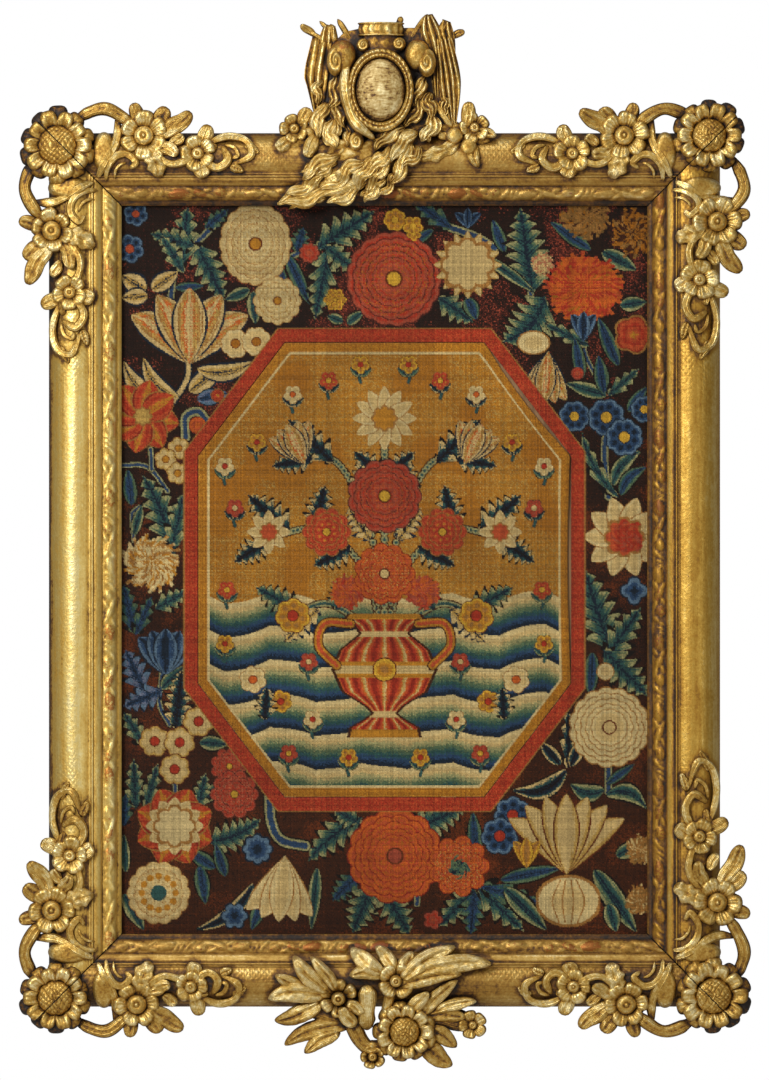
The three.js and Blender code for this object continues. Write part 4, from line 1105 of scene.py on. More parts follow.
def leafSkin(base, tip, width, bend=0, lift=7, deep=11, kind="leaf"):
    look = leafStyles[kind]
    base, tip = np.array(base, float), np.array(tip, float)
    step = tip - base
    length = np.hypot(*step)
    t = np.linspace(0.006, 0.994, int(np.clip(length / 1.5, 17, 40)))[:, None]
    # the midrib bends in an arc and waves, and the leaf swells along it
    side = np.array([-step[1], step[0]]) / length
    sway = bend * 4 * t * (1 - t) + look["wave"] * np.sin(2 * np.pi * 1.4 * t + base[0]) * np.sin(np.pi * t)
    place = base + t * step + sway * side
    swell = np.sin(np.pi * t ** look["widest"]) ** look["blunt"]
    height = groundAt(place[:, 0], place[:, 1]) + lift - deep / 2 + look["curl"] * t[:, 0] ** 3
    path = np.stack([place[:, 0], height, place[:, 1]], 1)
    # s runs across the crowned front from -1 to 1, and the back is a half circle
    s = -np.cos(np.linspace(0, np.pi, 17))[None]
    back = np.cos(np.linspace(0, np.pi, 8))[None, 1:-1]
    dome = np.sqrt(np.maximum(1 - s**2, 0)) ** 0.6
    groove = look["groove"] * np.exp(-((s / 0.17) ** 2)) * np.minimum(1, 5 * (1 - t))
    furrow = look["furrows"] * (0.5 - 0.5 * np.cos(2 * np.pi * (1.6 * s + 0.35 * np.sin(5 * t + base[1]))))
    veins = look["veins"] * np.sin(2 * np.pi * (look["count"] * t - 0.9 * np.abs(s))) * (1 - s**2)
    top = dome * (1 - groove - furrow) + veins
    edge = 1 - look["notch"] * (0.5 + 0.5 * np.cos(2 * np.pi * (look["count"] * t + 0.12 * base[0])))
    acrossShare = np.hstack([s, back]) * edge
    heights = np.hstack([top, np.ones_like(t) * -np.sqrt(1 - back**2)])
    ends = np.minimum(1, 9 * np.minimum(t, 1 - t) + 0.25)
    halfDepth = deep / 2 * (0.8 + 0.2 * swell) * ends
    section = np.stack([acrossShare, heights], -1)
    ribs = 0.2 + np.hstack([s, back]) * width / 3
    return tube(path, width / 2 * swell[:, 0], halfDepth[:, 0], section, ribs)


# Stems and scrolls of even width, with a shallow channel along the front
def stemSkin(points, width, depth):
    points = np.array(points, float)
    points[:, 2] += groundAt(points[:, 0], points[:, 1])
    reach = np.linalg.norm(np.diff(points, axis=0), axis=1).sum()
    path = smoothPath(points[:, [0, 2, 1]], int(np.clip(reach / 2, 14, 64)))
    t = np.linspace(0, 1, len(path))
    near = np.minimum(t, 1 - t)
    ends = np.minimum(1, 0.4 + 3 * near) * np.minimum(1, 0.3 + 25 * near)
    angle = np.linspace(0, 2 * np.pi, 20, endpoint=False)
    cos, sin = np.cos(angle), np.sin(angle)
    channel = 1 - 0.2 * (sin > 0) * np.exp(-((cos / 0.3) ** 2))
    wander = 1 + 0.06 * np.sin(t * reach / 6 + points[0, 0])[:, None]
    section = np.stack([cos * np.abs(cos) ** -0.12 * wander, sin * channel * wander], -1)
    return tube(path, width / 2 * ends, depth / 2 * ends, section, 0.2 + cos[None] * width / 4)


# Rings round a centre: shares of its reach, and heights over the ground, which is followed halfway
def polar(x, z, shares, heights, angle, stretch=(1, 1), reach=1.0, ribs=0.0):
    px = x + shares * reach * np.cos(angle) * stretch[0]
    pz = z - shares * reach * np.sin(angle) * stretch[1]
    level = (groundAt(x, z) + groundAt(px, pz)) / 2
    return skin(np.stack([px, np.broadcast_to(heights, px.shape) + level, pz], -1), ribs)


# Petals side by side: u runs -1 to 1 across each, which is parted from the next by a narrow dip. From the
# hub out, their height climbs from floor to top and falls to rim. dish hollows them.
petalRings = {
    "under": (0.04, 0.5, 0.9), "notch": 0.2,
    "over": (1.0, 0.99, 0.96, 0.9, 0.82, 0.73, 0.63, 0.53, 0.43, 0.34, 0.25, 0.15, 0.05),
}


def petalSkin(x, z, radius, petals, floor, top, rim, back, crown=3.0, hub=0.3, turn=0.0, dish=0.0):
    angle = np.linspace(0, 2 * np.pi, petals * (14 if radius > 20 else 11), endpoint=False)[None]
    number = angle * petals / (2 * np.pi) + turn
    u = (number % 1) * 2 - 1
    which = np.floor(number).astype(int) % petals
    under, over = (np.array(petalRings[key])[:, None] for key in ("under", "over"))
    shares = np.vstack([under, over]) * np.ones_like(u)
    # no two petals are alike: each has its own reach and height
    each = np.random.default_rng(int(abs(x * 3 + z))).random((2, petals + 1))
    ragged = 0.02 * np.sin(3 * angle + x) + 0.012 * np.sin(7 * angle + z) + 0.07 * (each[0][which] - 0.5)
    edge = np.where(shares > 0.3, 1 - petalRings["notch"] * np.abs(u) ** 4 + ragged, 1)
    heights = [floor, floor, top * 0.82 + floor * 0.18, top, top - (top - rim) * 0.25, rim]
    surface = np.interp(over, [0, hub, 0.62, 0.84, 0.95, 1], heights)
    between = crown * (np.abs(u) ** 8 + 0.2 * u**2) + 0.2 * np.cos(3 * np.pi * u)
    parting = between * np.minimum(1, over / 0.42)
    hollow = dish * (0.5 + 0.5 * np.cos(np.pi * u)) * np.exp(-(((over - 0.66) / 0.17) ** 2))
    uneven = crown * 0.35 * (each[1][which] - 0.5) * np.minimum(1, over / 0.6)
    below = np.array([back, back, back + (rim - back) * 0.4])[:, None] * np.ones_like(u)
    ribs = 0.2 + (u + 2 * which) * np.pi * radius * 0.6 / petals / 3.2
    rise = surface - parting - hollow + uneven
    return polar(x, z, shares, np.vstack([below, rise]), angle, reach=radius * edge, ribs=ribs)


# A dome from low at its rim to high, rounder the smaller edge is. seeds are a bent waffle, cut by two sets
# of lines that bulge from the middle; spiral is a groove that winds inwards, and dimple sinks the middle.
def domeSkin(x, z, radius, low, high, seeds=0.0, spiral=0, stretch=(1, 1), back=None, edge=2.4, dimple=0.0):
    reach = radius * max(stretch)
    around = 132 if reach > 12 else 56 if reach > 7 else 28
    angle = np.linspace(0, 2 * np.pi, around, endpoint=False)[None]
    over = np.linspace(1, 0.03, 26 if radius > 12 else 14)[:, None]
    shares = np.vstack([[[0.05]], [[0.95]], over]) * np.ones_like(angle)
    dome = low + (high - low) * (1 - over**edge) ** 0.7
    bent = over * (1 + 0.25 * over**2) * reach / 5.0
    sway = 0.3 * np.sin(3 * angle + x)
    lines = [np.abs(np.cos(np.pi * (bent * np.cos(angle + lean) + sway))) for lean in (0.8, 2.4)]
    pattern = seeds * (np.minimum(*lines) ** 0.5 - 0.6) * (over < 0.93)
    if spiral:
        winding = np.cos(2 * np.pi * 1.9 * over - angle) * np.minimum(1, over / 0.3) * (over < 0.95)
        pattern = pattern + spiral * winding
    back = low - 3 if back is None else back
    dimpled = dome - dimple * np.exp(-((over / 0.36) ** 2))
    heights = np.vstack([np.full((2, angle.shape[1]), back), dimpled + pattern])
    return polar(x, z, shares, heights, angle, stretch=stretch, reach=radius)


# A flower's petals and its boss: one row of dished petals round a dimpled boss with a bead, or two rows
# round a seeded dome. Heights are shares of its lift.
def flowerSkins(x, z, radius, petals, disc, lift=10, deep=13, rows=1, turn=0.0):
    hub = disc / radius * 0.9
    back = -deep * 0.85
    if rows > 1:
        return [
            petalSkin(x, z, radius * 1.03, petals, 0.3 * lift, 0.62 * lift, 0.1 * lift, back,
                crown=0.28 * lift, hub=hub, turn=turn),
            petalSkin(x, z, radius * 0.91, petals, 0.34 * lift, 0.96 * lift, 0.6 * lift, 0.1 * lift,
                crown=0.24 * lift, hub=hub * 1.15, turn=turn + 0.5, dish=0.12 * lift),
            domeSkin(x, z, disc, 0.5 * lift, 1.0 * lift, seeds=1.6, back=0.1 * lift, edge=3),
        ]
    return [
        petalSkin(x, z, radius * 1.07, petals, 0.3 * lift, 0.78 * lift, 0.1 * lift, back,
            crown=0.34 * lift, hub=hub, turn=turn, dish=0.09 * lift),
        domeSkin(x, z, disc * 1.05, 0.34 * lift, 1.0 * lift, back=0, dimple=0.17 * lift, edge=4),
        domeSkin(x, z, disc * 0.5, 0.3 * lift, 1.08 * lift, back=0, edge=2.0),
    ]


# Sunflowers: right is the way across to the picture's middle, and up the way out of it. along and out
# place the flower from its corner.
corners = {row["corner"]: row for row in table("corner x z right up along out radius disc", [
    ("top_left", -outerX, outerTop, 1, 1, 10, -14, 38, 20),
    ("top_right", outerX, outerTop, -1, 1, 12, -4, 36, 17),
    ("bottom_left", -outerX, outerBottom, 1, -1, 8, -11, 35, 18),
    ("bottom_right", outerX, outerBottom, -1, -1, 8, -13, 37, 18),
])}
sunflower = {"petals": 10, "lift": 19, "deep": 15}
# Where each spray's two flowers lie, how far it stretches past the second, and the flowers' radii
sprays = table("corner arm first second stretch radii", [
    ("top_left", "across", 96, 150, 1, [23.5, 17]),
    ("top_left", "upright", 99, 161, 1.15, [21, 17]),
    ("top_right", "across", 97, 149, 1, [24, 18]),
    ("top_right", "upright", 90, 148, 1.3, [24, 19]),
    ("bottom_left", "across", 89, 143, 0.9, [22, 16]),
    ("bottom_left", "upright", 98, 153, 1.2, [23, 18]),
    ("bottom_right", "across", 95, 148, 0.9, [22, 17]),
    ("bottom_right", "upright", 106, 172, 1.4, [24, 17]),
])
# The shapes of a spray with its flowers at 96 and 150: places are [along, out] or [along, out, lift]
sprayFlowers = table("at petals disc lift", [
    ((96, -4), 6, 9.5, 13),
    ((150, -22), 5, 6, 9),
])
sprayStems = table("width depth points", [
    (13, 16, [(24, 10, -2), (42, 20, 0), (58, 23, 2), (74, 15, 2), (88, 2, 2)]),
    (10, 9, [(50, -46, 1), (57, -31, 1), (66, -16, 1), (70, -2, 0), (69, 14, 0)]),
    (8, 9, [(98, -14, 2), (118, -31, 1), (134, -31, 1), (150, -22, 1)]),
    (9, 8, [(150, -24, 2), (168, -36, 1), (180, -28, 1), (174, -14, 1)]),
    (8, 8, [(152, -16, 1), (178, -5, 1), (198, -9, 1), (203, -24, 1), (182, -34, 0)]),
    (8, 7, [(58, -49, 1), (60, -35, 1), (68, -25, 1), (79, -23, 1), (88, -31, 1), (82, -37, 1)]),
    (3, 5, [(67, -47, 0), (68, -39, 0), (73, -33, 0), (79, -31, 0)]),
    (5, 6, [(176, -13, 1), (186, -16, 1), (190, -24, 1), (184, -27, 1)]),
])
sprayLeaves = table("base tip width kind bend lift", [
    ((92, 4), (86, 29), 15, "petal"),
    ((104, 2), (120, 24), 18, "petal"),
    ((108, -4), (143, 20), 19, "curled", -3, 8),
    ((106, -14), (130, -24), 15, "curled", 2),
    ((98, -14), (111, -46), 23, "feather", 3, 6),
    ((153, -16), (161, 7), 16, "petal"),
    ((150, -30), (157, -46), 17, "petal", 0, 5),
    ((122, -14), (136, -4), 12, "petal", 0, 7),
    ((170, -16), (156, -14), 9, "petal", 0, 5),
    ((182, -34), (196, -40), 10, "leaf", 0, 4),
    ((196, -12), (212, -22), 10, "leaf", 0, 4),
])
tab = {"at": (56, -21), "stretch": (12, 21), "low": -4, "high": 5, "back": -6}


# A place along one of a corner's two arms and out from the picture's edge there
def cornerPlace(corner, arm, along, out):
    if arm == "across":
        return corner["x"] + corner["right"] * along, corner["z"] + corner["up"] * out
    return corner["x"] - corner["right"] * out, corner["z"] - corner["up"] * along


def sunflowerShape(corner):
    x, z = cornerPlace(corner, "across", corner["along"], corner["out"])
    made = joinedSkins(flowerSkins(
        x, z, corner["radius"], sunflower["petals"], corner["disc"], sunflower["lift"], sunflower["deep"],
        rows=2))
    # its outer petals are browner, most of all at the outermost corner
    away = (made["points"][:, [0, 2]] - [x, z]) / corner["radius"]
    outer = (away * [-corner["right"], corner["up"]]).sum(1)
    made["outerDarkening"] = 0.14 * np.clip((np.hypot(*away.T) - 0.72) / 0.2, 0, 1) + 0.12 * np.clip(outer - 0.2, 0, 1)
    return made


def sprayShape(row):
    corner = corners[row["corner"]]
    first, second = row["first"], row["second"]

    def place(at):
        along = np.interp(at[0], [0, 60, 96, 150, 250], [0, 60, first, second, second + 100 * row["stretch"]])
        return (*cornerPlace(corner, row["arm"], along, at[1]), *at[2:])

    made = [stemSkin([place(at) for at in one["points"]], one["width"], one["depth"]) for one in sprayStems]
    made += [leafSkin(**{**one, "base": place(one["base"]), "tip": place(one["tip"])}) for one in sprayLeaves]
    for radius, one in zip(row["radii"], sprayFlowers):
        x, z = place(one["at"])
        made += flowerSkins(x, z, radius, one["petals"], one["disc"], lift=one["lift"], turn=0.2 * second)
    stretch = tab["stretch"] if row["arm"] == "across" else tab["stretch"][::-1]
    x, z = place(tab["at"])
    made.append(domeSkin(x, z, 1, tab["low"], tab["high"], stretch=stretch, back=tab["back"], edge=6))
    return joinedSkins(made)


# The crest: a blank oval in a cartouche of scrolls, with a collar over it, banners beside it and wavy locks
# that sweep down over the rail. x is from the middle of the rail, and z from its outer edge.
crestRing = {
    "x": -4, "z": 41, "halfWidth": 33, "halfHeight": 41.7, "inner": 0.77, "back": -12, "floor": 6, "top": 23}
crestBoss = {"x": -4, "z": 41, "halfWidth": 24.3, "halfHeight": 31.2, "back": 6.3, "top": 30}
crestCollar = {
    "x": -3.5, "z": 102, "halfWidth": 23.5, "halfDepth": 13, "height": 13, "middle": 36, "flutes": 15}
crestNeck = {
    "x": -3.5, "z": 88, "halfWidth": 20, "halfDepth": 10, "height": 18, "middle": 36, "flutes": 9}
crestStems = table("width depth points", [
    (12, 28, [(-36, 80, 8), (-39.5, 44, 10), (-31, 12, 11), (-10, -8, 11)]),
    (5, 10, [(-50, 84, 0), (-66, 95, 0), (-76, 101, 0)]),
    (5, 10, [(-44, 86, 0), (-56, 102, 0), (-65, 111, 0)]),
    (6, 10, [(-32, 88, 0), (-40, 102, 0), (-47, 113, 0)]),
    (5, 10, [(23, 88, 0), (33, 104, 0), (43, 118, 0)]),
    (5, 10, [(46, 82, 0), (60, 91, 0), (72, 98, 0)]),
    (6, 8, [(13, 104, 6), (17, 115, 6)]),
    (8, 14, [(-54, 108, 0), (-51, 98, 0), (-49, 86, 0)]),
    (7, 10, [(48, 32, 5), (58, 18, 5), (68, 3, 4)]),
    (8, 12, [(62, 111, 0), (58, 104, 0), (54, 92, 0)]),
])
# Banners hang in folds between two curves of [x, z], from the top down: depth is over the ground
crestBanners = table("folds depth left right", [
    (3, 9, [(-72, 96), (-80, 60), (-77, 44), (-67, 4)], [(-50, 90), (-56, 60), (-60, 30), (-64, 8)]),
    (3, 7, [(-60, 108), (-66, 92), (-70, 70), (-66, 50)], [(-49, 106), (-48, 90), (-50, 66), (-54, 44)]),
    (4, 9, [(52, 96), (54, 66), (56, 36), (66, 6)], [(66, 98), (75, 62), (76, 40), (71, 3)]),
    (3, 8, [(40, 117), (36, 100), (44, 72), (50, 34)], [(48, 118), (58, 98), (58, 72), (56, 30)]),
    (2, 7, [(58, 113), (56, 100), (60, 84), (64, 66)], [(66, 110), (70, 96), (71, 82), (70, 64)]),
])
# The rolled tops of the cartouche, rubbed to the bole above
crestScrolls = table("x z radius stretch high boleAbove", [
    (-42, 74, 17.5, (0.82, 1), 21, 76),
    (33, 76, 16, (0.85, 1), 21, 84),
])
crestBeds = table("base tip width lift deep kind", [
    ((60, 14), (-108, -73), 48, 5, 12, "lock"),
    ((50, 2), (108, -8), 26, 5, 14, "leaf"),
    ((-44, 2), (-106, -12), 30, 5, 14, "leaf"),
])
crestKnobs = table("x z radius lift stretch", [
    (-48.5, 70, 15, 24, (0.6, 1)),
    (42, 68.5, 14.5, 24, (0.65, 1)),
    (-21, 86, 7, 20, (1, 1)),
    (14.5, 87, 7, 20, (1, 1)),
    (-28, -10, 10, 16, (0.75, 1)),
    (70, -4, 8, 13, (1, 1)),
    (84, -15, 8, 9, (1, 1)),
])
crestLocks = table("base tip width bend lift deep", [
    ((-49, 58), (-57, 22), 19, 5, 15, 18),
    ((-56, 30), (-66, -8), 19, -4, 13, 16),
    ((-48, 36), (-39, 4), 18, -4, 13, 16),
    ((-50, 14), (-48, -18), 20, -5, 12, 15),
    ((42, 56), (30, 22), 18, -4, 15, 18),
    ((46, 40), (50, 12), 18, -4, 14, 18),
    ((36, 34), (18, 4), 18, 3, 14, 18),
    ((48, 20), (36, -10), 19, 4, 13, 16),
    ((22, 6), (-10, -20), 19, -3, 14, 18),
    ((34, 0), (6, -32), 20, -4, 13, 15),
    ((26, -10), (4, -54), 18, 4, 10, 13),
    ((6, -14), (-22, -46), 18, 3, 12),
    ((-8, -26), (-27, -60), 18, -4, 11),
    ((6, -28), (-16, -62), 18, -3, 10),
    ((-34, -34), (-66, -58), 17, 4, 10),
    ((-18, -30), (-50, -56), 17, -4, 10),
    ((-44, -24), (-82, -49), 18, -4, 9),
    ((-60, -42), (-99, -62), 17, 3, 9),
    ((-22, -50), (-58, -71), 17, 3, 9),
    ((-48, -52), (-102, -71), 18, 4, 8),
    ((2, -46), (-20, -71), 18, -3, 9),
])
crestLeaves = table("base tip width lift kind bend deep", [
    ((-68, 96), (-84, 107), 8, 4, "petal", 0, 8),
    ((66, 95), (80, 101), 8, 4, "petal", 0, 8),
    ((-30, -10), (-58, -26), 20, 6, "feather"),
    ((-68, -2), (-78, -26), 15, 8, "petal"),
    ((80, -8), (32, -27), 18, 5, "feather", 3),
    ((86, -6), (94, -36), 14, 5, "smooth", -2),
    ((90, 2), (112, -4), 12, 7, "smooth"),
    ((82, 4), (85, 30), 15, 9, "petal"),
    ((-84, 6), (-76, 24), 15, 9, "petal"),
    ((-92, -6), (-108, -18), 15, 6, "petal"),
])
crestFlowers = table("x z radius petals disc lift", [
    (-90, 3, 14, 5, 5, 11),
    (90, 4, 15, 5, 5, 12),
])
crestBlock = {"back": 14, "front": 33, "outline": [
    (-70, 86), (-48, 92), (-40, 100), (-22, 104), (18, 104), (36, 104), (56, 92), (66, 84), (70, -4),
    (-70, -4)]}


# An upright drum, fluted like overlapping leaves between a rim above and a rim below
drumProfile = [  # [share of the half height, share of the half width]
    (-1, 0.5), (-1, 0.97), (-0.86, 1), (-0.8, 0.97), (-0.7, 0.9), (-0.45, 0.93), (-0.15, 0.95),
    (0.15, 0.95), (0.45, 0.93), (0.7, 0.9), (0.8, 0.97), (0.86, 1), (1, 0.97), (1, 0.5)]


def drumSkin(x, z, halfWidth, halfDepth, height, middle, flutes):
    angle = np.linspace(0, 2 * np.pi, 120, endpoint=False)[None]
    share, bulge = np.array(drumProfile, float).T[..., None]
    r = bulge + 0.035 * np.cos(flutes * angle + 2.2 * np.abs(share)) * (np.abs(share) < 0.75)
    up = np.broadcast_to(z + outerTop + height / 2 * share, r.shape)
    out = middle + halfDepth * r * np.sin(angle)
    return skin(np.stack([x + halfWidth * r * np.cos(angle), out, up], -1))


# A moulded oval ring: an outer row of leaves, a hollow, and an inner row of beads round the sunk floor
ringProfile = [  # [share of the half width, height under the top]
    (1, 6), (0.985, 4), (0.96, 2), (0.93, 0.9), (0.9, 1.6), (0.878, 3.4), (0.86, 2.6), (0.84, 1.2),
    (0.815, 1.8), (0.79, 3)]


def ringSkin(x, z, halfWidth, halfHeight, inner, back, floor, top):
    angle = np.linspace(0, 2 * np.pi, 220, endpoint=False)[None]
    front = [(share, top - under) for share, under in ringProfile]
    rows = [(0.05, back), (1, back), *front, (inner, top - 4), (inner, floor), (0.05, floor)]
    r, h = np.array(rows, float).T[..., None]
    leaves = 1.1 * np.cos(34 * angle + 26 * r) * ((r > 0.89) & (r < 0.99))
    beads = 0.9 * np.cos(52 * angle) * ((r > 0.8) & (r < 0.85))
    shares = r * np.ones_like(angle)
    return polar(x, z + outerTop, shares, h + leaves + beads, angle, stretch=(halfWidth, halfHeight))


# The plain block behind the crest: its outline, drawn in a little at the front edge
def blockSkin(back, front, outline):
    ring = np.array(outline, float)
    ring = np.vstack([np.linspace(a, b, 9)[:-1] for a, b in zip(ring, np.roll(ring, -1, 0))])
    middle = ring.mean(0)
    rows = [
        (0.1, back), (1, back), (1, (back + front) / 2), (1, front - 1), (0.98, front), (0.6, front),
        (0.1, front)]
    return skin([np.stack([
        middle[0] + (ring[:, 0] - middle[0]) * share, np.full(len(ring), h),
        outerTop + middle[1] + (ring[:, 1] - middle[1]) * share], 1) for share, h in rows])


# A banner between two curves. Its folds are rounded ridges that drift sideways on the way down.
def bannerSkin(left, right, folds, depth):
    rows, columns = 44, 8 * folds + 1
    v = np.linspace(0, 1, rows)[:, None]
    u = np.concatenate([np.linspace(0, 1, columns), np.linspace(1, 0, 8)[1:-1]])[None]
    front = np.arange(u.size) < columns
    a, b = (smoothPath(edge, rows)[:, None] for edge in (left, right))
    place = a + (b - a) * u[..., None]
    fold = np.abs(np.sin(np.pi * (folds * u + 0.35 * np.sin(3 * v + left[0][0])))) ** 0.75
    ends = np.minimum(1, 14 * np.minimum(v, 1 - v) + 0.3)
    rise = np.where(front, (0.35 + 0.65 * fold * (0.6 + 0.4 * np.sin(2.2 * v + 2 * u))) * depth * ends, -5)
    z = place[..., 1] + outerTop - 1.6 * fold * v * front
    return skin(np.stack([place[..., 0], groundAt(place[..., 0], z) + rise, z], -1), 0.2 + 1.5 * folds * u)


def scrollSkin(x, z, radius, stretch, high, boleAbove):
    made = domeSkin(x, z + outerTop, radius, high * 0.35, high, stretch=stretch, back=-12, edge=3.4)
    made["bole"] = 0.75 * np.clip((made["points"][:, 2] - outerTop - boleAbove) / 7, 0, 1)
    return made


# A smaller lock lies beside each lock, a little lower, to its left and right by turns
def companions(rows):
    made = []
    for i, row in enumerate(rows):
        base, tip = np.array(row["base"], float), np.array(row["tip"], float)
        step = tip - base
        side = np.array([-step[1], step[0]]) / np.hypot(*step) * (0.55 if i % 2 else -0.55) * row["width"]
        made.append({
            **row, "base": tuple(base + side + 0.22 * step), "tip": tuple(tip + side * 0.8 - 0.06 * step),
            "width": row["width"] * 0.7, "lift": row["lift"] - 2.5, "bend": -row["bend"]})
    return made


# Rows with their places moved up from the edge that they are measured from
def shifted(rows, edge, kind="leaf"):
    return [{"kind": kind, **row, "base": (row["base"][0], row["base"][1] + edge),
        "tip": (row["tip"][0], row["tip"][1] + edge)} for row in rows]


def shiftedStems(rows, edge):
    return [stemSkin([(x, z + edge, lift) for x, z, lift in row["points"]], row["width"], row["depth"])
        for row in rows]


def crestShape():
    made = [blockSkin(**crestBlock), ringSkin(**crestRing), drumSkin(**crestCollar), drumSkin(**crestNeck)]
    made += [bannerSkin(**row) for row in crestBanners] + [scrollSkin(**row) for row in crestScrolls]
    made += shiftedStems(crestStems, outerTop)
    for row in crestKnobs:
        curled = row["radius"] > 6 and row["lift"] > 13
        made.append(domeSkin(
            row["x"], row["z"] + outerTop, row["radius"], row["lift"] * 0.5, row["lift"] - 0.8,
            stretch=row["stretch"], spiral=0.9 if curled else 0, back=-12, edge=3))
    locks = shifted(crestLocks + companions(crestLocks), outerTop, "lock")
    for row in shifted(crestBeds, outerTop) + locks + shifted(crestLeaves, outerTop):
        made.append(leafSkin(**row))
    for row in crestFlowers:
        made += flowerSkins(**{**row, "z": row["z"] + outerTop})
    return joinedSkins(made)


# The blank oval: a cushion shape, steepest at its edge. Heights are given under its top.
bossRings = (1, 0.985, 0.95, 0.9, 0.82, 0.7, 0.56, 0.4, 0.24, 0.08)
bossProfile = [(0, 0), (0.5, 1.4), (0.85, 5.4), (1, 12)]


def bossShape():
    row = crestBoss
    angle = np.linspace(0, 2 * np.pi, 96, endpoint=False)[None]
    share, under = np.array(bossProfile, float).T
    rise = np.interp(bossRings, share, row["top"] - under)
    r = np.array([0.05, 0.98, 1, *bossRings])[:, None] * np.ones_like(angle)
    h = np.array([row["back"], row["back"], row["back"] + 0.6, *rise])[:, None] * np.ones_like(angle)
    return polar(row["x"], row["z"] + outerTop, r, h, angle, stretch=(row["halfWidth"], row["halfHeight"]))


# The bouquet at the foot: x is from the middle of the rail, and z from its outer edge.
bouquetFlowers = table("x z radius petals disc lift deep rows", [
    (20, -23, 31, 9, 15, 20, 15, 2),
    (-12, -48.5, 12, 5, 4.5, 12),
    (11.5, 28, 18, 4, 6, 16),
    (-46, 10, 19, 6, 7, 20),
    (88, -17, 14, 5, 4, 8),
])
bouquetLeaves = table("base tip width bend lift deep kind", [
    ((-1, 36), (-33, 61), 20, 3, 13, 16),
    ((10, 38), (-9, 62), 16, -2, 12, 16),
    ((18, 36), (28, 57), 18, 0, 12, 16),
    ((16, 28), (71, 62), 19, 4, 15, 18),
    ((26, 34), (107, 45), 21, 5, 13, 16),
    ((14, 22), (77, 35), 18, 4, 12, 16),
    ((0, 33), (-35, 33), 17, -4, 11, 16),
    ((-54, 16), (-91, 53), 19, 3, 14, 18),
    ((-48, 18), (-74, 52), 14, -2, 15, 18),
    ((-58, 12), (-116, 10), 22, -6, 14, 16),
    ((-62, 8), (-110, -12), 20, 4, 11, 16),
    ((-66, 20), (-109, 34), 17, 3, 9, 14),
    ((-34, -18), (-100, -37), 20, -7),
    ((-44, -24), (-80, -45), 17, -3),
    ((36, -10), (73, 29), 15, 3, 9),
    ((50, -4), (92, 7), 14, 3, 8),
    ((42, -8), (82, -9), 16, 2),
    ((42, -22), (72, -39), 18, 3, 9),
    ((36, -30), (68, -57), 22, -3, 9),
    ((22, -6), (44, 17), 16, 0, 12),
    ((-44, 2), (-28, -16), 15, -2, 20, 16, "petal"),
    ((-38, 6), (-22, -6), 13, 2, 17, 16, "petal"),
])
bouquetStems = table("width depth points", [
    (19, 20, [(-18, 24, 4), (-17, 10, 6), (-19, -6, 6), (-17, -22, 2)]),
    (16, 18, [(-40, 0, 4), (-32, -16, 2), (-24, -32, 0), (-14, -40, 0), (2, -34, 0)]),
    (12, 16, [(8, 22, 4), (4, 8, 2), (2, -8, 0)]),
    (22, 18, [(34, -12, -2), (54, -8, -3), (72, -12, -4), (86, -16, -4)]),
    (20, 18, [(-12, -12, -2), (-34, -12, -2), (-60, -4, -3), (-84, 2, -2)]),
])


def bouquetShape():
    made = shiftedStems(bouquetStems, outerBottom)
    made += [leafSkin(**row) for row in shifted(bouquetLeaves, outerBottom, "smooth")]
    for row in bouquetFlowers:
        made += flowerSkins(**{**row, "z": row["z"] + outerBottom})
    return joinedSkins(made)


# Rails: the section from the sight edge outwards as [distance, height]
railFront = np.array([
    (0, 19), (3.6, 19.6), (4.4, 20.2), (5.4, 23.2), (7, 24.8), (8, 25.6), (9.5, 26.5), (11, 27.1),
    (12.5, 27.6), (14, 27.9), (15.5, 28), (17, 27.9), (18.2, 27.4), (18.9, 26), (19.6, 29.8),
    (20.6, 31.2), (24, 33), (26.4, 34.2), (27, 33.4), (27.6, 35.4), (28.4, 36.7), (29.2, 36),
    (29.8, 34.6), (30.3, 35.7), (31.1, 36), (31.9, 34.6), (33, 35.2), (35.5, 36.3), (38.5, 37.3),
    (42, 38.1), (46, 38.4), (50, 38), (54, 36.7), (58, 34.8), (62, 31.9), (65, 29), (68, 24.8),
    (70, 21.2), (72, 16.5), (73, 12.8)])
rebate = {"width": 8.5, "height": 12.6, "clear": 0.15}
# The ornament that runs along the sight edge: its repeat, the mesh's step, its band and its sunk ground
running = {"pitch": 74.0, "step": 1.85, "low": 4.6, "high": 18.1, "sunk": 1.1}
# Engraved ground lies this near the ends of the sight edge, fading in, and this far out from it
engraving = {"from": 190, "fade": 30, "out": 32}
# Shapes of the ornament: at is a share of the pitch, out is from the sight edge, and slant is in degrees
runningShapes = table("at out long wide slant high bole", [
    (0.08, 11.2, 10.5, 5.2, 8, 2.6, 1),
    (0.22, 7.6, 6.5, 2.4, 34, 1.7),
    (0.25, 14.6, 6.5, 2.6, -28, 1.8),
    (0.36, 11.4, 8.5, 3.6, -22, 2.2, 0.8),
    (0.47, 15.2, 5.5, 2.2, 24, 1.5),
    (0.5, 8.0, 7.5, 2.6, -14, 1.8),
    (0.62, 12.6, 6.5, 4.6, 16, 2.3, 0.6),
    (0.74, 8.4, 5.5, 2.2, 44, 1.5),
    (0.8, 13.0, 4.5, 1.7, 62, 1.3),
    (0.87, 12.4, 4.8, 1.7, 62, 1.3),
    (0.94, 13.6, 4.6, 1.7, 56, 1.3),
])
# Each rail: half its sight edge's length, its turn in degrees, and the middle of that edge
railSides = {row["side"]: row for row in table("side half turn x z", [
    ("top", sightX, 0, 0, sightTop),
    ("right", (sightTop - sightBottom) / 2, -90, sightX, sightMiddle),
    ("bottom", sightX, 180, 0, sightBottom),
    ("left", (sightTop - sightBottom) / 2, 90, -sightX, sightMiddle),
])}
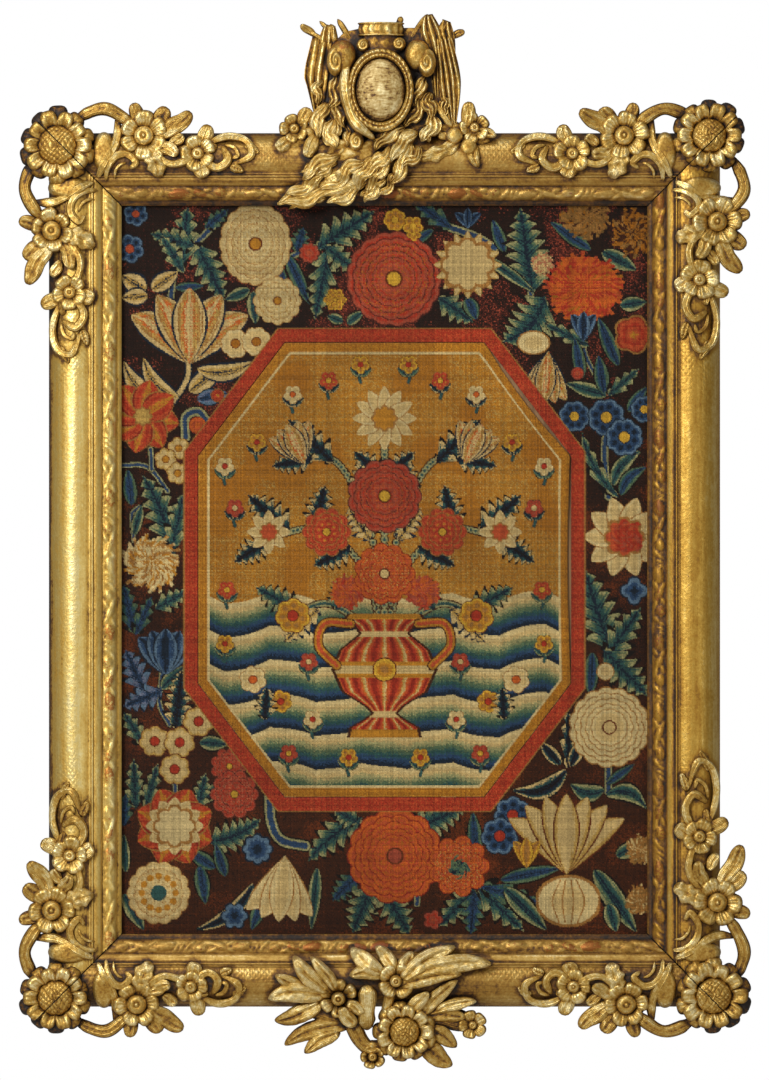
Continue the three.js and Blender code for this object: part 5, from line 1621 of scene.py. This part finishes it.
# Painted light and shade, with dirt, on the rail's bands, against the distance from the sight edge:
# [distance, 0 dark to 1 bright]
railBandShading = {
    "top": [
        (2, 0.32), (6, 0.46), (17, 0.54), (20, 0.42), (26, 0.58), (29.5, 0.42), (34, 0.5), (50, 0.5),
        (59, 0.58), (72, 0.46)],
    "right": [
        (2, 0.4), (17, 0.42), (20, 0.6), (24, 0.58), (26, 0.38), (30, 0.4), (33, 0.62), (44, 0.55),
        (62, 0.6), (68, 0.76), (71, 0.72)],
    "bottom": [
        (2, 0.38), (9, 0.36), (17, 0.56), (23, 0.6), (26.5, 0.42), (33, 0.6), (40, 0.5), (48, 0.44),
        (58, 0.5), (66, 0.58)],
    "left": [
        (2, 0.66), (10, 0.5), (18, 0.62), (22, 0.56), (27, 0.56), (36, 0.57), (45, 0.72), (50, 0.7),
        (58, 0.52), (66, 0.55), (71, 0.4)],
}


def railShape(side):
    lip = [(railWidth, 0), (rebate["width"], 0), (rebate["width"], rebate["height"]), (0, rebate["height"])]
    d, h = np.vstack([railFront, lip]).T
    onFront = np.arange(len(d)) < len(railFront)
    count = int(2 * (side["half"] + railWidth) / running["step"])
    along = np.linspace(-1, 1, count)[:, None] * (side["half"] + d - rebate["clear"])
    # the ornament's repeats are stretched and shifted a little on the way along
    phase = along / running["pitch"] + 0.15 * np.sin(along / 97)
    chance = np.random.default_rng(int(side["half"])).random(25) - 0.5
    wander = np.interp(along, np.arange(-12, 13) * 45.0, chance)
    raised, bole = np.zeros_like(along), np.zeros_like(along)
    for row in runningShapes:
        near = ((phase - row["at"] + 0.5) % 1 - 0.5) * running["pitch"]
        cos, sin = np.cos(np.radians(row["slant"])), np.sin(np.radians(row["slant"]))
        off = d - row["out"] - 1.5 * wander
        u, v = near * cos + off * sin, off * cos - near * sin
        bump = np.maximum(0, 1 - (u / row["long"]) ** 2 - (v / row["wide"]) ** 2) ** 0.5
        raised = np.maximum(raised, row["high"] * bump)
        shows = row.get("bole", 0) * np.clip(0.75 + 2 * wander, 0, 1)
        bole = np.maximum(bole, np.minimum(1, 2 * bump) * shows)
    inBand = onFront & (d > running["low"]) & (d < running["high"])
    wear = 0.25 * (softNoise((count, len(d)), 9, int(side["z"]) % 97) - 0.5) * onFront
    height = h + (raised - running["sunk"]) * inBand + wear
    height = np.where((d < rebate["width"] + 0.1) & (h <= rebate["height"]), h, np.maximum(height, 0))
    turn = np.radians(side["turn"])
    x = side["x"] + along * np.cos(turn) - d * np.sin(turn)
    z = side["z"] + along * np.sin(turn) + d * np.cos(turn)
    shape = skin(np.stack([x, height, z], -1))
    # past the front the section's back and lip take the painted light and shade of its outer edge
    bandShading = np.interp(np.minimum(np.arange(len(d)), len(railFront) - 1), np.arange(len(railFront)),
        np.interp(railFront[:, 0], *zip(*railBandShading[side["side"]])))
    reach = np.clip((np.abs(along) - side["half"] + engraving["from"]) / engraving["fade"], 0, 1)
    engraved = reach * (d > engraving["out"]) * (h > rebate["height"])
    for key, values in (("bole", bole * inBand), ("tone", bandShading), ("engraved", engraved)):
        shape[key] = np.append(np.broadcast_to(values, along.shape).ravel(), [0, 0])
    return shape


# Relief: how high each place stands against what is round it, near by and further off. It is read
# from a map of the highest places, one to a cell, against the same map blurred. Low places are darkened with
# dirt and painted shade, and proud places are lightened where the leaf is rubbed.
reliefMap = {"cell": 1.0, "near": 2, "far": 9, "nearScale": 1.5, "farScale": 9.0, "nearShare": 0.22}


# Each value becomes the sum of those within the radius, by differences of running sums
def boxBlur(values, radius):
    for axis in (0, 1):
        padded = np.pad(values, [(radius + 1, radius) if i == axis else (0, 0) for i in (0, 1)])
        total = np.cumsum(padded, axis)
        count = values.shape[axis]
        last, first = (np.take(total, np.arange(count) + shift, axis) for shift in (2 * radius + 1, 0))
        values = last - first
    return values


def addRelief(shapes):
    cell = reliefMap["cell"]
    everything = np.vstack([shape["points"] for shape in shapes])
    low = everything[:, [0, 2]].min(0) - 4 * cell
    size = tuple((np.ptp(everything[:, [0, 2]], axis=0) / cell).astype(int) + 9)
    spot = ((everything[:, [0, 2]] - low) / cell).astype(int)
    surface = np.zeros(size)
    np.maximum.at(surface, (spot[:, 0], spot[:, 1]), everything[:, 1])
    wide = np.zeros_like(surface)
    for shift in ((i, j) for i in (-1, 0, 1) for j in (-1, 0, 1)):
        wide = np.maximum(wide, np.roll(surface, shift, (0, 1)))
    surface = np.where(surface > 0, surface, wide)
    known = (surface > 0).astype(float)
    spread = []
    for radius in (reliefMap["near"], reliefMap["far"]):
        total, weight = (boxBlur(boxBlur(one, radius), radius) for one in (surface, known))
        spread.append(total / np.maximum(weight, 1))
    for shape in shapes:
        points = shape["points"]
        spot = ((points[:, [0, 2]] - low) / cell).astype(int)
        near, far = (points[:, 1] - one[spot[:, 0], spot[:, 1]] for one in spread)
        # painted shade with dirt: places below their surroundings are darkened more than proud places are
        # lightened
        proud = 0.5 + np.where(far > 0, 0.07, 0.17) * np.tanh(far / reliefMap["farScale"])
        # on the rails the middle tone is the painted light and shade of each band
        middle = shape.get("tone", proud) - shape.get("outerDarkening", 0)
        shape["shadedRelief"] = middle + reliefMap["nearShare"] * np.tanh(near / reliefMap["nearScale"])


# The gildings: the carvings', the top and bottom rails', the two upright rails' and the boss's. The left
# rail's is a paler copy with a painted sheen, and the right rail's is a deeper copy with painted shade.
carvedGold = gildedWood("gilded_carving", {
    **goldLook, "gold": "#a47a2c", "pale": "#c7a65a", "rubbed": "#ecdba4"})
levelGold = gildedWood("gilded_level_rail", {
    **goldLook, "streakScale": (0.05, 1.0, 1.0), "streak": (4.0, 0.5), "patch": (60.0, 0.4),
    "blotch": (9.0, 0.35), "speck": (2.6, 0.35), "gold": "#9f7731", "pale": "#c3a159",
    "marks": 4.0, "bump": 0.35})
uprightLook = {
    **goldLook, "streakScale": (1.0, 1.0, 0.05), "streak": (4.0, 0.45), "patch": (60.0, 0.25),
    "blotch": (9.0, 0.25), "speck": (2.6, 0.3), "marks": 4.0, "bump": 0.3}
# painted sheen: the left rail's gold, pale, rubbed and bole tones are lightened
sheenLitLeftGold = gildedWood("gilded_left_rail_painted_sheen", {
    **uprightLook, "gold": "#c49c45", "pale": "#dcc072", "rubbed": "#f0e2a8", "bole": "#b56a28"})
# painted shade: the right rail's gold, pale, rubbed and bole tones are darkened
shadedRightGold = gildedWood("gilded_right_rail_painted_shade", {
    **uprightLook, "gold": "#a67a28", "pale": "#c69f48", "rubbed": "#e4ca80", "bole": "#7b4420"})
wornGold = gildedWood("worn_gilding_of_the_boss", {
    **goldLook, "streakScale": (0.12, 1.0, 1.0), "streak": (1.6, 0.8), "gold": "#a98a4c", "pale": "#cdb57c",
    "metal": 0.4, "rough": 0.55, "patch": (26.0, 0.4)})


def carvings():
    railGold = {"top": levelGold, "right": shadedRightGold, "bottom": levelGold, "left": sheenLitLeftGold}
    parts = {f"rail_{name}": (railShape(side), railGold[name]) for name, side in railSides.items()}
    for name, corner in corners.items():
        parts[f"sunflower_{name}"] = (sunflowerShape(corner), carvedGold)
    for row in sprays:
        parts[f"spray_{row['corner']}_{row['arm']}"] = (sprayShape(row), carvedGold)
    parts["crest_carving"] = (crestShape(), carvedGold)
    parts["crest_boss"] = (bossShape(), wornGold)
    parts["foot_bouquet"] = (bouquetShape(), carvedGold)
    addRelief([shape for shape, _ in parts.values()])
    for node, (shape, material) in parts.items():
        piece = meshObject(f"carved_{node}", shape, material)
        for key in pointLayers:
            if key in shape:
                layer = piece.data.attributes.new(key, "FLOAT", "POINT")
                layer.data.foreach_set("value", shape[key].astype(np.float32))
        join(piece, node)


carvings()
print("stage: rails and carvings")


# The board behind is bare planed pine, with its grain running up
boardLook = {
    "grain": 7.0, "along": 0.05, "dark": "#5d4128", "middle": "#7d5c3a", "light": "#94714a", "rough": 0.75}


def bareWood(name, look):
    made, tree = newMaterial(name)
    place = addNode(tree, "ShaderNodeTexCoord").outputs["Object"]
    drawn = addNode(tree, "ShaderNodeMapping", {"Vector": place, "Scale": (1.0, 1.0, look["along"])})
    grain = addNode(tree, "ShaderNodeTexNoise", {
        "Vector": drawn, "Scale": 1 / (look["grain"] * mm), "Detail": 6.0})
    tones = zip((0.3, 0.5, 0.7), (look[key] for key in ("dark", "middle", "light")))
    tone = addNode(tree, "ShaderNodeValToRGB", {"Fac": grain}, stops=tones)
    surface = addNode(tree, "ShaderNodeBsdfPrincipled", {"Base Color": tone, "Roughness": look["rough"]})
    finishMaterial(tree, surface)
    return made


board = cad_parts["backing_board"]
board.data.materials.clear()
board.data.materials.append(bareWood("bare_pine_board", boardLook))
print("stage: board")
